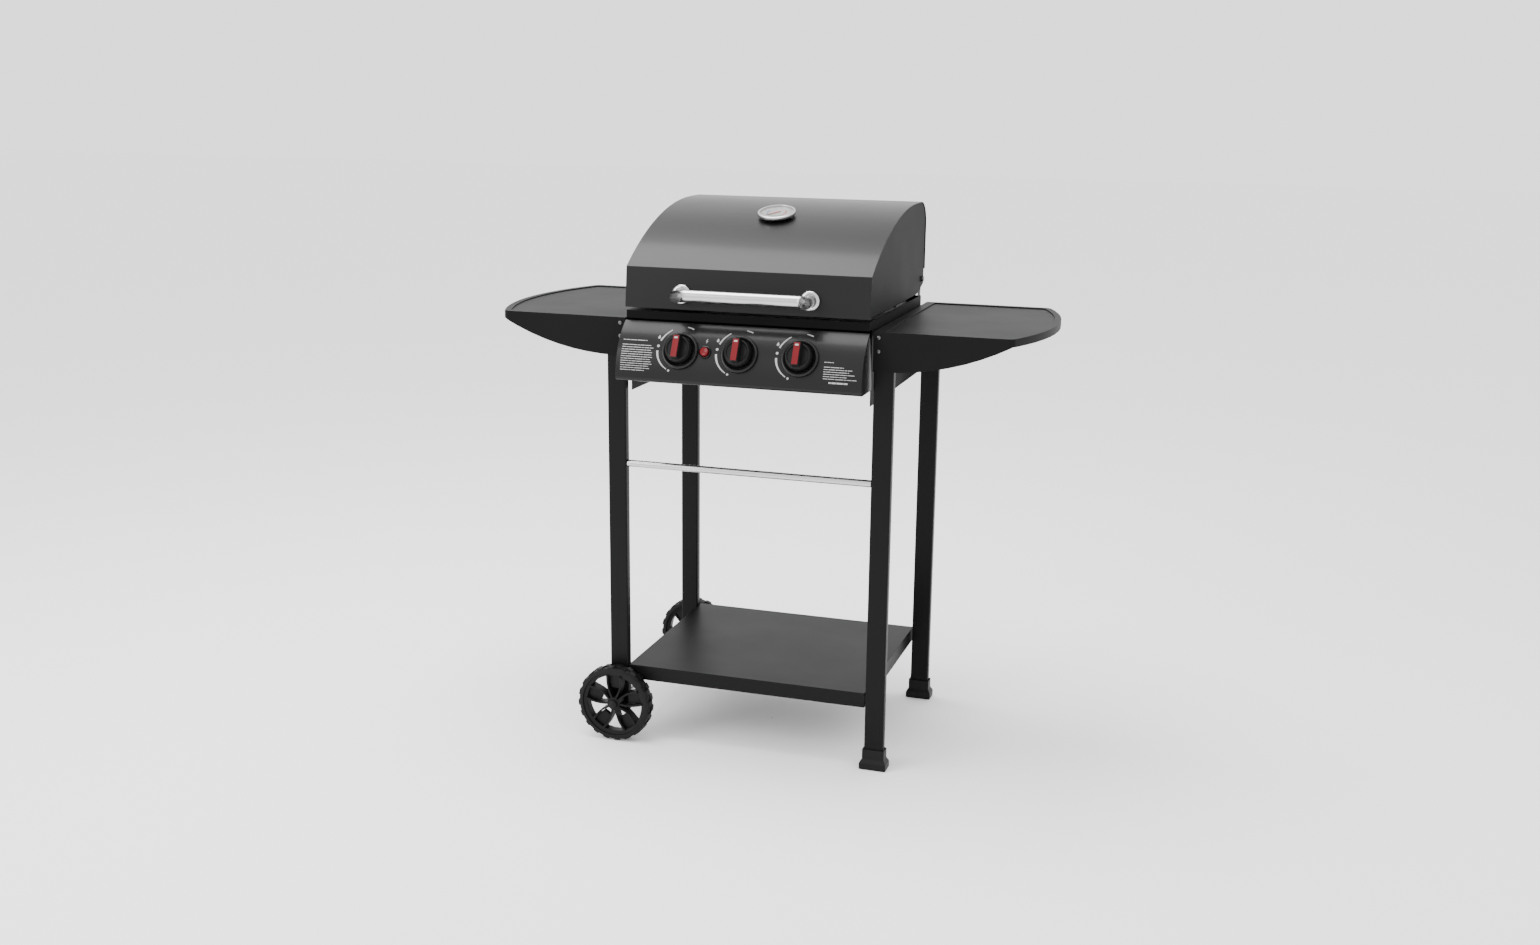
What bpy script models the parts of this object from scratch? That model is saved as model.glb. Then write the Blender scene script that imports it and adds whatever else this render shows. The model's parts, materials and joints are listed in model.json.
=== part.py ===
"""Three-burner gas barbecue on a wheeled cart.

Metres, +Z up, the front towards -Y and the wheels on the left (-X). Inside this file y = 0 is the front
face of the front legs; everything hangs from one empty that puts the origin under the middle of the object.
"""

import math

import bmesh
import bpy
from mathutils import Vector

# ---------------------------------------------------------------- driving dimensions
SHEET = 0.0012            # pressed steel sheet
GAP = 0.0003              # assembly gap between touching pieces
RUNNING_GAP = 0.0003      # clearance of a turning or sliding fit

CART_WIDTH = 0.540        # over the outer faces of the legs
CART_DEPTH = 0.4016       # front face of the front legs to rear face of the rear legs
LEG_FACE = 0.036
LEG_DEPTH = 0.018
LEG_CORNER = 0.003
LEG_WALL = 0.0012
TABLE_HEIGHT = 0.8134
LEG_HEADROOM = 0.005      # from the leg's top to the underside of the table
FOOT_FLANGE = 0.0072
FOOT_COLLAR = 0.0024
FOOT_HEIGHT = 0.038
FOOT_BASE_HEIGHT = 0.012
FOOT_SOLE = 0.006

WHEEL_RADIUS = 0.074
WHEEL_WIDTH = 0.028
WHEEL_GAP = 0.0045        # wheel to leg
TYRE_DEPTH = 0.012
LUG_HEIGHT = 0.0025
LUG_COUNT = 20
SPOKE_PAIRS = 5
SPOKE_THICKNESS = 0.012
HUB_RADIUS = 0.0125
AXLE_RADIUS = 0.004
AXLE_HOLE_MARGIN = 0.022  # leg below the axle
HUB_CAP_RADIUS = 0.0085
HUB_CAP_HEIGHT = 0.006

CROSSBAR_HEIGHT = 0.5395
CROSSBAR_RADIUS = 0.0065
PIPE_WALL = 0.001
SHELF_TOP = 0.1456
SHELF_APRON = 0.0278
SHELF_SIDE_GAP = 0.0015

TABLE_OVERHANG = 0.252    # from the cart's side to a table's outermost point
TABLE_BULGE = 0.047       # how far the outer edge bows
TABLE_FRONT_OVERLAP = 0.0003
TABLE_REAR_OVERHANG = 0.0284
TABLE_CORNER = 0.014
TABLE_RIM = 0.012
TABLE_INNER_RIM = 0.018
TABLE_RECESS = 0.002
TABLE_APRON = 0.0704      # at the firebox
TABLE_EDGE = 0.014        # apron at the outer edge
TABLE_APRON_RUN = 0.016   # from the leg's inner face to where the apron starts to rise

FIREBOX_LEG_GAP = 0.0075  # from the leg's inner face to the firebox
FIREBOX_FRONT = -0.008
FIREBOX_REAR_INSET = 0.0016
FIREBOX_RISE = 0.0156     # above the tables
FIREBOX_DEPTH = 0.124     # top to floor
SKIRT_DROP = 0.027        # side skirts below the floor
FIREBOX_STRIP = 0.0145    # front strip under the lid
FIREBOX_SKIRT_GAP = 0.0025  # from the panel's back to the side skirts
VALVE_BAY = 0.048         # from the strip to the inner front wall
LEDGE = 0.011
GRATE_DROP = 0.0168       # grate ledge below the firebox top
TENT_DROP = 0.055         # tent ledge below the firebox top
DRIP_OPENING = (0.300, 0.200)

BURNER_COUNT = 3
BURNER_RADIUS = 0.0125
VENTURI_RADIUS = 0.011
BURNER_PIN_RADIUS = 0.004
BURNER_DROP = 0.0215      # below the knobs' line, where the valves' nozzles lie
TENT_WIDTH = 0.100
TENT_RISE = 0.020
GRATE_THICKNESS = 0.006
GRATE_BAR = 0.0065
GRATE_SLOTS = 11
GRATE_MIDDLE_GAP = 0.002
GRATE_WALL_GAP = 0.002
RACK_RISE = 0.076         # above the firebox
RACK_FOOT_OVERHANG = 0.0013182  # beyond the edge of the grate bar that it stands on
RACK_DEPTH = 0.105
RACK_WIRE = 0.004
RACK_LID_ROOM = 0.016     # from the lid's pivot line to the rack, for the lid's foot
RACK_SLOTS = 9

TRAY_HALF = 0.155
TRAY_LENGTH = 0.270
TRAY_REAR_INSET = 0.025
TRAY_DEPTH = 0.016
TRAY_LIP = 0.012
RUNNER_LEG = 0.008

LID_SIDE_OVERHANG = 0.0018
LID_FRONT_OVERHANG = 0.0025
LID_REAR_OVERHANG = 0.0185
LID_GAP = 0.0055          # above the firebox
LID_HEIGHT = 0.178
LID_CREST_BACK = 0.0885   # highest line ahead of the rear
LID_REAR_FOOT_RISE = 0.0195
LID_FACE_HEIGHT = 0.073
LID_FACE_LEAN = 0.007
LID_REAR_CORNER = 0.045
LID_CORNER_STEPS = 6
LID_SHEET_SIDE = -1.0     # the sheet's thickness lies inside the outer line
LID_HEM = 0.008
LID_END_GAP = 0.004       # dark slot behind an end panel
PIVOT_INSET = 0.004       # ahead of the firebox's rear
PIVOT_RISE = 0.033        # above the firebox
PIVOT_RADIUS = 0.003
BRACKET_INSET = 0.004     # hinge bracket inside the end panel
BRACKET_RADIUS = 0.009
BRACKET_HEIGHT = 0.035

HANDLE_HALF = 0.1195
HANDLE_RISE = 0.027       # above the lid's lower edge
HANDLE_RADIUS = 0.011
HANDLE_STANDOFF = 0.050
HANDLE_BEND = 0.016
HANDLE_SCREW_RADIUS = 0.003
BOSS_RADIUS = 0.018
BOSS_THICKNESS = 0.007

THERMOMETER_AHEAD = 0.158 # ahead of the lid's highest line
THERMOMETER_RADIUS = 0.0355
THERMOMETER_HEIGHT = 0.011
DIAL_RADIUS = 0.031
DIAL_DEPTH = 0.0045
DIAL_THICKNESS = 0.0008
NEEDLE_LENGTH = 0.024
NEEDLE_THICKNESS = 0.0008
PROBE_RADIUS = 0.004
PROBE_LENGTH = 0.055

PANEL_SIDE_OVERHANG = 0.0016
PANEL_TOP_DROP = 0.018    # below the firebox's top
PANEL_HEIGHT = 0.1033
PANEL_FRONT = -0.060      # foremost line of the fascia
PANEL_TOP_GAP = 0.0012    # panel's top edge to the firebox strip
PANEL_SHOULDER = 0.0073   # straight part above the bottom edge
PANEL_DEPTH = 0.070       # front line to the open back

KNOB_PITCH = 0.111
KNOB_ROW_CENTRE = 0.003
KNOB_DROP = 0.0445        # below the panel's top
BEZEL_RADIUS = 0.034
BEZEL_RIM = 0.005
BEZEL_HEIGHT = 0.005
BEZEL_SKIRT = 0.008       # before it is cut to the panel's curve
KNOB_RADIUS = 0.0242
KNOB_BODY = 0.0125
KNOB_GRIP = 0.0115
KNOB_GRIP_WIDTH = 0.014
GRIP_INSERT = (0.0095, 0.036, 0.002)
KNOB_TRAVEL = 0.004
STEM_RADIUS = 0.004
PLUG_RADIUS = 0.0055
VALVE_RADIUS = 0.009
VALVE_START = 0.012       # behind the fascia
VALVE_LENGTH = 0.032
NOZZLE_RADIUS = 0.005
MANIFOLD_RADIUS = 0.008

BUTTON_OFFSET = 0.0645    # left of the row's centre
BUTTON_RADIUS = 0.008
BUTTON_PROUD = 0.007
BUTTON_TRAVEL = 0.005
IGNITER_RADIUS = 0.013
IGNITER_LENGTH = 0.024

# ---------------------------------------------------------------- derived places
LEG_INNER = CART_WIDTH / 2 - LEG_FACE
LEG_CENTRE = CART_WIDTH / 2 - LEG_FACE / 2
TABLE_REACH = CART_WIDTH / 2 + TABLE_OVERHANG
TABLE_REAR = CART_DEPTH + TABLE_REAR_OVERHANG
TABLE_APRON_FLAT = LEG_INNER + TABLE_APRON_RUN
FIREBOX_HALF = LEG_INNER - FIREBOX_LEG_GAP
FIREBOX_REAR = CART_DEPTH - FIREBOX_REAR_INSET
FIREBOX_TOP = TABLE_HEIGHT + FIREBOX_RISE
FIREBOX_FLOOR = FIREBOX_TOP - FIREBOX_DEPTH
FIREBOX_SKIRT = FIREBOX_FLOOR - SKIRT_DROP
RACK_HEIGHT = FIREBOX_TOP + RACK_RISE
GRATE_OUTER = FIREBOX_HALF - SHEET - GRATE_WALL_GAP
GRATE_PITCH = (GRATE_OUTER - GRATE_MIDDLE_GAP / 2 - GRATE_BAR) / GRATE_SLOTS
GRATE_LAST_BAR = GRATE_MIDDLE_GAP / 2 + GRATE_PITCH * (GRATE_SLOTS - 1)
RACK_HALF = GRATE_LAST_BAR + GRATE_BAR + RACK_FOOT_OVERHANG
TRAY_REAR = FIREBOX_REAR - TRAY_REAR_INSET
LID_HALF = FIREBOX_HALF + LID_SIDE_OVERHANG
LID_BOTTOM = FIREBOX_TOP + LID_GAP
LID_FRONT = FIREBOX_FRONT - LID_FRONT_OVERHANG
LID_TOP = LID_BOTTOM + LID_HEIGHT
LID_REAR = FIREBOX_REAR + LID_REAR_OVERHANG
LID_CREST = LID_REAR - LID_CREST_BACK
LID_REAR_FOOT = LID_BOTTOM + LID_REAR_FOOT_RISE
PIVOT_Y = FIREBOX_REAR - PIVOT_INSET
PIVOT_Z = FIREBOX_TOP + PIVOT_RISE
HANDLE_HEIGHT = LID_BOTTOM + HANDLE_RISE
THERMOMETER_Y = LID_CREST - THERMOMETER_AHEAD
PANEL_HALF = FIREBOX_HALF + PANEL_SIDE_OVERHANG
PANEL_TOP = FIREBOX_TOP - PANEL_TOP_DROP
PANEL_BOTTOM = PANEL_TOP - PANEL_HEIGHT
KNOB_HEIGHT = PANEL_TOP - KNOB_DROP
BURNER_HEIGHT = KNOB_HEIGHT - BURNER_DROP
TABLE_PLATE_LOW = TABLE_HEIGHT - TABLE_RECESS - SHEET * 0.8
LEG_TOP = TABLE_PLATE_LOW - LEG_HEADROOM
TABLE_FRONT = -TABLE_FRONT_OVERLAP - SHEET
TABLE_INNER = LEG_INNER - GAP - SHEET
GRATE_LEDGE = FIREBOX_TOP - GRATE_DROP
TENT_LEDGE = FIREBOX_TOP - TENT_DROP
FIREBOX_WALL_FRONT = FIREBOX_FRONT + VALVE_BAY
FIREBOX_SKIRT_FRONT = PANEL_FRONT + PANEL_DEPTH + FIREBOX_SKIRT_GAP
HANDLE_FACE = LID_FRONT + LID_FACE_LEAN * (HANDLE_HEIGHT - LID_BOTTOM) / LID_FACE_HEIGHT
HANDLE_BAR_Y = HANDLE_FACE - HANDLE_STANDOFF
FRONT_WHEEL_Y = -WHEEL_GAP - WHEEL_WIDTH / 2
REAR_WHEEL_Y = CART_DEPTH + WHEEL_GAP + WHEEL_WIDTH / 2
HUB_CAP_FACE = WHEEL_WIDTH / 2 + RUNNING_GAP + HUB_CAP_HEIGHT
GRATE_TOP = GRATE_LEDGE + GAP + GRATE_THICKNESS
PIVOT_REACH = LID_HALF + 0.0035
PANEL_ARC_HEIGHT = PANEL_TOP - PANEL_BOTTOM - PANEL_SHOULDER
PANEL_TOP_Y = FIREBOX_FRONT - PANEL_TOP_GAP
PANEL_ARC_RUN = PANEL_TOP_Y - PANEL_FRONT
PANEL_ARC_RADIUS = (PANEL_ARC_RUN ** 2 + PANEL_ARC_HEIGHT ** 2) / (2 * PANEL_ARC_RUN)
PANEL_ARC_CENTRE = (PANEL_FRONT + PANEL_ARC_RADIUS, PANEL_BOTTOM + PANEL_SHOULDER)
KNOB_TILT = math.asin((KNOB_HEIGHT - PANEL_ARC_CENTRE[1]) / PANEL_ARC_RADIUS)
KNOB_SURFACE_Y = PANEL_ARC_CENTRE[0] - PANEL_ARC_RADIUS * math.cos(KNOB_TILT)
LID_CREASE = LID_BOTTOM + LID_FACE_HEIGHT
LID_CREASE_Y = LID_FRONT + LID_FACE_LEAN
LID_ARC_RUN = LID_CREST - LID_CREASE_Y
LID_ARC_RISE = LID_TOP - LID_CREASE
LID_ARC_RADIUS = (LID_ARC_RUN ** 2 + LID_ARC_RISE ** 2) / (2 * LID_ARC_RISE)
BEZEL_SEAT = GAP + 0.0002
KNOB_LOW = BEZEL_SEAT + SHEET + KNOB_TRAVEL + GAP
KNOB_TOP = KNOB_LOW + KNOB_BODY + KNOB_GRIP
KNOB_BAR_HALF = KNOB_RADIUS - 0.002
KNOB_FRONT = KNOB_SURFACE_Y - KNOB_TOP * math.cos(KNOB_TILT) - KNOB_BAR_HALF * math.sin(KNOB_TILT)
OBJECT_FRONT = min(HANDLE_BAR_Y - HANDLE_RADIUS, KNOB_FRONT)
OBJECT_REAR = REAR_WHEEL_Y + HUB_CAP_FACE
MIDDLE_Y = (OBJECT_FRONT + OBJECT_REAR) / 2

# How a flat outline's own X, Y turn to lie in each plane
PLANES = {
    "XY": (0.0, 0.0, 0.0),
    "XZ": (math.pi / 2, 0.0, 0.0),
    "YZ": (math.pi / 2, 0.0, math.pi / 2),
}
AXIS_TURN = {"X": (0.0, math.pi / 2, 0.0), "Y": (math.pi / 2, 0.0, 0.0), "Z": (0.0, 0.0, 0.0)}

ENAMEL = ("black_enamel", (0.030, 0.030, 0.032, 1.0), 0.3, 0.38)
POWDER_COAT = ("black_powder_coat", (0.020, 0.020, 0.021, 1.0), 0.1, 0.5)
TABLE_PAINT = ("grey_black_paint", (0.060, 0.060, 0.062, 1.0), 0.2, 0.45)
BRIGHT_STEEL = ("bright_steel", (0.78, 0.78, 0.78, 1.0), 1.0, 0.25)
STAINLESS = ("stainless", (0.55, 0.55, 0.56, 1.0), 1.0, 0.35)
BLACK_PLASTIC = ("black_plastic", (0.015, 0.015, 0.016, 1.0), 0.0, 0.45)
RED_PLASTIC = ("red_plastic", (0.45, 0.02, 0.04, 1.0), 0.0, 0.35)
CAST_IRON = ("cast_iron", (0.03, 0.03, 0.03, 1.0), 0.6, 0.6)
BRASS = ("brass", (0.60, 0.42, 0.15, 1.0), 1.0, 0.35)
DIAL_PAINT = ("dial_paint", (0.80, 0.80, 0.78, 1.0), 0.0, 0.4)
NEEDLE_PAINT = ("needle_paint", (0.50, 0.03, 0.02, 1.0), 0.0, 0.4)


# ---------------------------------------------------------------- outlines
def arc(centre, radius, start, end, steps):
    """Points on a circle from one angle to another, in degrees, both ends included."""
    points = []
    for step in range(steps + 1):
        angle = math.radians(start + (end - start) * step / steps)
        points.append((centre[0] + radius * math.cos(angle), centre[1] + radius * math.sin(angle)))
    return points


def circle(centre, radius, steps):
    """A closed round outline."""
    return arc(centre, radius, 0, 360 - 360 / steps, steps - 1)


def rounded_rectangle(width, height, radius, steps=2):
    """A closed rectangle about the origin with round corners."""
    x, y = width / 2 - radius, height / 2 - radius
    points = []
    for turn, (cx, cy) in enumerate(((x, y), (-x, y), (-x, -y), (x, -y))):
        points += arc((cx, cy), radius, 90 * turn, 90 * turn + 90, steps)
    return points


def rectangle(low, high):
    """A closed rectangle between two corners."""
    return [low, (high[0], low[1]), high, (low[0], high[1])]


def signed_area(points):
    """Positive for an outline that runs counter-clockwise."""
    pairs = zip(points, points[1:] + points[:1])
    return sum(a[0] * b[1] - b[0] * a[1] for a, b in pairs) / 2


def inset(points, distance):
    """The closed outline moved inwards by a distance, or by one distance for each of its sides."""
    count = len(points)
    distances = distance if isinstance(distance, list) else [distance] * count
    turn = 1 if signed_area(points) > 0 else -1
    moved = []
    for index in range(count):
        before, here, after = (Vector(points[(index + k) % count]) for k in (-1, 0, 1))
        along_in, along_out = (here - before).normalized(), (after - here).normalized()
        normal_in = Vector((-along_in.y, along_in.x)) * turn
        normal_out = Vector((-along_out.y, along_out.x)) * turn
        shift_in, shift_out = distances[index - 1], distances[index]
        cross = along_in.x * along_out.y - along_in.y * along_out.x
        if abs(cross) < 1e-4:
            moved.append(tuple(here + normal_in * shift_in))
            continue
        start = here + normal_in * shift_in
        gap = here + normal_out * shift_out - start
        run = (gap.x * along_out.y - gap.y * along_out.x) / cross
        moved.append(tuple(start + along_in * run))
    return moved


def mirrored(points):
    """The outline on the other side of x = 0."""
    return [(-x, y) for x, y in reversed(points)]


# ---------------------------------------------------------------- objects
def clear_scene():
    """Empties the file and makes the two collections."""
    for obj in list(bpy.data.objects):
        bpy.data.objects.remove(obj)
    groups = {}
    for name in ("gas_barbecue", "cutters"):
        groups[name] = bpy.data.collections.new(name)
        bpy.context.scene.collection.children.link(groups[name])
    return groups


GROUPS = clear_scene()


def material(finish):
    """A Principled material for a finish, made once."""
    name, colour, metallic, roughness = finish
    if name in bpy.data.materials:
        return bpy.data.materials[name]
    made = bpy.data.materials.new(name)
    made.use_nodes = True
    shader = made.node_tree.nodes["Principled BSDF"]
    shader.inputs["Base Color"].default_value = colour
    shader.inputs["Metallic"].default_value = metallic
    shader.inputs["Roughness"].default_value = roughness
    made.diffuse_color = colour
    return made


def empty(name, location, rotation=(0.0, 0.0, 0.0), parent=None):
    """A guide that pieces hang from."""
    guide = bpy.data.objects.new(name, None)
    guide.location = location
    guide.rotation_euler = rotation
    guide.parent = parent
    GROUPS["gas_barbecue"].objects.link(guide)
    return guide


CART = empty("cart_origin", (0.0, -MIDDLE_Y, 0.0))


def adopt(obj, parent, group="gas_barbecue"):
    """Hangs an object from its guide and puts it in its collection."""
    for holder in list(obj.users_collection):
        holder.objects.unlink(obj)
    GROUPS[group].objects.link(obj)
    obj.parent = parent or CART
    return obj


def smooth(obj, degrees=35):
    """Smooth shading with sharp edges where the surface turns more."""
    obj.data.shade_smooth()
    obj.data.set_sharp_from_angle(angle=math.radians(degrees))
    return obj


def finished(obj, name, finish):
    """Names a piece, closes up slivers that its cuts left, and gives it its material."""
    if obj.modifiers:
        weld = obj.modifiers.new("weld", "WELD")
        weld.merge_threshold = 0.00003
    obj.name = name
    obj.data.name = name
    obj.data.materials.clear()
    obj.data.materials.append(material(finish))
    return obj


def new_mesh(name, build, location=(0.0, 0.0, 0.0), rotation=(0.0, 0.0, 0.0), parent=None):
    """An object from a function that fills a bmesh."""
    data = bpy.data.meshes.new(name)
    shape = bmesh.new()
    build(shape)
    shape.to_mesh(data)
    shape.free()
    obj = bpy.data.objects.new(name, data)
    bpy.context.scene.collection.objects.link(obj)
    obj.location = location
    obj.rotation_euler = rotation
    return adopt(obj, parent)


def box(name, low, high, parent=None):
    """A block between two corners, from the cube primitive."""
    centre = [(a + b) / 2 for a, b in zip(low, high)]
    size = [b - a for a, b in zip(low, high)]

    def build(shape):
        bmesh.ops.create_cube(shape, size=1.0)
        bmesh.ops.scale(shape, vec=size, verts=shape.verts)

    return new_mesh(name, build, centre, parent=parent)


def open_box(name, low, high, thickness, missing=(0, 0, -1), parent=None):
    """A sheet box with one side missing, its walls inside the given corners."""
    centre = [(a + b) / 2 for a, b in zip(low, high)]
    size = [b - a for a, b in zip(low, high)]

    def build(shape):
        bmesh.ops.create_cube(shape, size=1.0)
        lost = [face for face in shape.faces if face.normal.dot(Vector(missing)) > 0.9]
        bmesh.ops.delete(shape, geom=lost, context="FACES_ONLY")
        bmesh.ops.scale(shape, vec=size, verts=shape.verts)

    obj = new_mesh(name, build, centre, parent=parent)
    thicken(obj, thickness)
    return obj


def thicken(obj, thickness, offset=-1.0):
    """Solidify with even walls."""
    wall = obj.modifiers.new("wall", "SOLIDIFY")
    wall.thickness = thickness
    wall.offset = offset
    wall.use_even_offset = True
    return obj


def rod(name, radius, low, high, axis="Z", centre=(0.0, 0.0), steps=16, parent=None):
    """A cylinder along an axis; centre is its place on the two other axes, in X, Y, Z order."""
    place = list(centre)
    place.insert("XYZ".index(axis), (low + high) / 2)

    def build(shape):
        bmesh.ops.create_cone(
            shape, cap_ends=True, segments=steps, radius1=radius, radius2=radius, depth=high - low
        )

    return smooth(new_mesh(name, build, place, AXIS_TURN[axis], parent))


def welded_copy(curve):
    """The curve's evaluated mesh as a closed mesh object in the same place."""
    bpy.context.view_layer.update()
    graph = bpy.context.evaluated_depsgraph_get()
    data = bpy.data.meshes.new_from_object(curve.evaluated_get(graph))
    shape = bmesh.new()
    shape.from_mesh(data)
    bmesh.ops.remove_doubles(shape, verts=shape.verts, dist=0.00002)
    bmesh.ops.recalc_face_normals(shape, faces=shape.faces)
    shape.to_mesh(data)
    shape.free()
    obj = bpy.data.objects.new(curve.name + "_mesh", data)
    bpy.context.scene.collection.objects.link(obj)
    obj.location = curve.location
    obj.rotation_euler = curve.rotation_euler
    adopt(obj, curve.parent)
    obj.matrix_world = curve.matrix_world
    bpy.data.objects.remove(curve)
    return obj


def plate(name, outlines, low, high, plane="XY", parent=None):
    """A flat piece of any outline, with holes where outlines nest, between two levels of its normal."""
    data = bpy.data.curves.new(name, "CURVE")
    data.dimensions = "2D"
    data.fill_mode = "BOTH"
    data.extrude = (high - low) / 2
    for outline in outlines:
        spline = data.splines.new("POLY")
        spline.points.add(len(outline) - 1)
        for point, (x, y) in zip(spline.points, outline):
            point.co = (x, y, 0.0, 1.0)
        spline.use_cyclic_u = True
    curve = bpy.data.objects.new(name, data)
    bpy.context.scene.collection.objects.link(curve)
    level = (low + high) / 2
    curve.location = {"XY": (0, 0, level), "XZ": (0, level, 0), "YZ": (level, 0, 0)}[plane]
    curve.rotation_euler = PLANES[plane]
    adopt(curve, parent)
    return welded_copy(curve)


def bent_tube(name, points, radius, resolution=3, parent=None):
    """A round bar along a path."""
    data = bpy.data.curves.new(name, "CURVE")
    data.dimensions = "3D"
    data.bevel_depth = radius
    data.bevel_resolution = resolution
    data.use_fill_caps = True
    spline = data.splines.new("POLY")
    spline.points.add(len(points) - 1)
    for point, place in zip(spline.points, points):
        point.co = (*place, 1.0)
    curve = bpy.data.objects.new(name, data)
    bpy.context.scene.collection.objects.link(curve)
    adopt(curve, parent)
    return smooth(welded_copy(curve))


def turned(name, profile, steps, location=(0.0, 0.0, 0.0), rotation=(0.0, 0.0, 0.0), parent=None, ring=False):
    """A turned piece: (radius, height) points from the outer side's top down; a ring's profile closes."""
    def build(shape):
        points = [shape.verts.new((radius, 0.0, height)) for radius, height in profile]
        for first, second in zip(points, points[1:]):
            shape.edges.new((first, second))
        if ring:
            shape.edges.new((points[-1], points[0]))

    obj = new_mesh(name, build, location, rotation, parent)
    screw = obj.modifiers.new("turn", "SCREW")
    screw.steps = steps
    screw.render_steps = steps
    screw.use_merge_vertices = True
    screw.merge_threshold = 0.00001
    screw.use_smooth_shade = False
    return obj


def folded_sheet(name, profile, half_width, thickness, offset):
    """A sheet folded along X: (y, z) points of one surface, thickened to one side."""
    def build(shape):
        points = [shape.verts.new((-half_width, y, z)) for y, z in profile]
        edges = [shape.edges.new(pair) for pair in zip(points, points[1:])]
        grown = bmesh.ops.extrude_edge_only(shape, edges=edges)["geom"]
        moved = [item for item in grown if isinstance(item, bmesh.types.BMVert)]
        bmesh.ops.translate(shape, vec=(2 * half_width, 0, 0), verts=moved)

    return thicken(new_mesh(name, build), thickness, offset)


def hide_cutter(cutter):
    """Puts a cutter away."""
    cutter.hide_render = True
    cutter.display_type = "WIRE"
    adopt(cutter, cutter.parent, "cutters")


def combine(target, others, operation):
    """Exact Booleans with hidden cutters."""
    for other in others:
        step = target.modifiers.new(other.name, "BOOLEAN")
        step.operation = operation
        step.solver = "EXACT"
        step.object = other
        hide_cutter(other)
    return target


def cut(target, *cutters):
    """Takes the cutters out of the target."""
    return combine(target, cutters, "DIFFERENCE")


def join(target, *others):
    """Makes one body of the target and the others."""
    return combine(target, others, "UNION")


# ---------------------------------------------------------------- cart
def leg(name, side, low_y, bottom, axle_hole):
    """A rectangular tube; a wheel leg has a cross hole for the axle."""
    outer = rounded_rectangle(LEG_FACE, LEG_DEPTH, LEG_CORNER)
    wall = LEG_WALL
    inner = rounded_rectangle(LEG_FACE - 2 * wall, LEG_DEPTH - 2 * wall, LEG_CORNER - wall)
    centre = (side * LEG_CENTRE, low_y + LEG_DEPTH / 2)
    outlines = [[(x + centre[0], y + centre[1]) for x, y in ring] for ring in (outer, inner)]
    piece = plate(name, outlines, bottom, LEG_TOP)
    if axle_hole:
        margin = LEG_DEPTH
        hole = rod(
            name + "_axle_hole", AXLE_RADIUS + RUNNING_GAP, low_y - margin, low_y + LEG_DEPTH + margin,
            "Y", (side * LEG_CENTRE, WHEEL_RADIUS), 12,
        )
        cut(piece, hole)
    return finished(piece, name, POWDER_COAT)


def legs():
    """Two wheel legs on the left and two standing legs on the right."""
    rear = CART_DEPTH - LEG_DEPTH
    wheel_leg_end = WHEEL_RADIUS - AXLE_HOLE_MARGIN
    leg("leg_front_left", -1, 0.0, wheel_leg_end, True)
    leg("leg_rear_left", -1, rear, wheel_leg_end, True)
    leg("leg_front_right", 1, 0.0, FOOT_SOLE + GAP, False)
    leg("leg_rear_right", 1, rear, FOOT_SOLE + GAP, False)


def foot(name, low_y):
    """A plastic foot: a flared base and a collar round the end of the leg."""
    centre = (LEG_CENTRE, low_y + LEG_DEPTH / 2)
    grow = 2 * (FOOT_COLLAR + GAP)
    collar = (LEG_FACE + grow, LEG_DEPTH + grow)
    base = (LEG_FACE + 2 * FOOT_FLANGE, LEG_DEPTH + 2 * FOOT_FLANGE)

    def build(shape):
        bmesh.ops.create_cube(shape, size=1.0)
        bmesh.ops.scale(shape, vec=(*base, FOOT_BASE_HEIGHT), verts=shape.verts)
        for rise, size in ((FOOT_HEIGHT / 5, collar), (FOOT_HEIGHT, collar)):
            top = max(shape.faces, key=lambda face: face.calc_center_median().z)
            level = top.calc_center_median().z
            top = bmesh.ops.extrude_discrete_faces(shape, faces=[top])["faces"][0]
            target = FOOT_BASE_HEIGHT / 2 + rise if rise < FOOT_HEIGHT else FOOT_HEIGHT - FOOT_BASE_HEIGHT / 2
            for vertex in top.verts:
                vertex.co.x = math.copysign(size[0] / 2, vertex.co.x)
                vertex.co.y = math.copysign(size[1] / 2, vertex.co.y)
                vertex.co.z += target - level

    piece = new_mesh(name, build, (*centre, FOOT_BASE_HEIGHT / 2))
    pocket_size = (LEG_FACE / 2 + GAP, LEG_DEPTH / 2 + GAP)
    pocket = box(
        name + "_pocket",
        (centre[0] - pocket_size[0], centre[1] - pocket_size[1], FOOT_SOLE),
        (centre[0] + pocket_size[0], centre[1] + pocket_size[1], FOOT_HEIGHT * 2),
    )
    return finished(cut(piece, pocket), name, BLACK_PLASTIC)


def lugged_outline():
    """The tyre's outer edge: a circle with square lugs."""
    points = []
    step = 360 / LUG_COUNT
    for lug in range(LUG_COUNT):
        for angle, radius in ((0.0, 0), (0.6, 0), (0.68, 1), (0.92, 1)):
            turn = math.radians((lug + angle) * step)
            reach = WHEEL_RADIUS - LUG_HEIGHT * radius
            points.append((reach * math.cos(turn), reach * math.sin(turn)))
    return points


def spoke_windows(rim):
    """Openings between the curved spokes: five narrow ones inside the pairs and five wide ones between."""
    windows = []
    inner = HUB_RADIUS + 0.004
    for pair in range(SPOKE_PAIRS):
        middle = 360 * pair / SPOKE_PAIRS + 90
        for centre, spread_in, spread_out in ((middle, 5, 12), (middle + 36, 12, 18)):
            outer_arc = arc((0, 0), rim, centre - spread_out, centre + spread_out, 3)
            inner_arc = arc((0, 0), inner + 0.006, centre + spread_in, centre - spread_in, 1)
            windows.append(outer_arc + inner_arc)
    return windows


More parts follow.
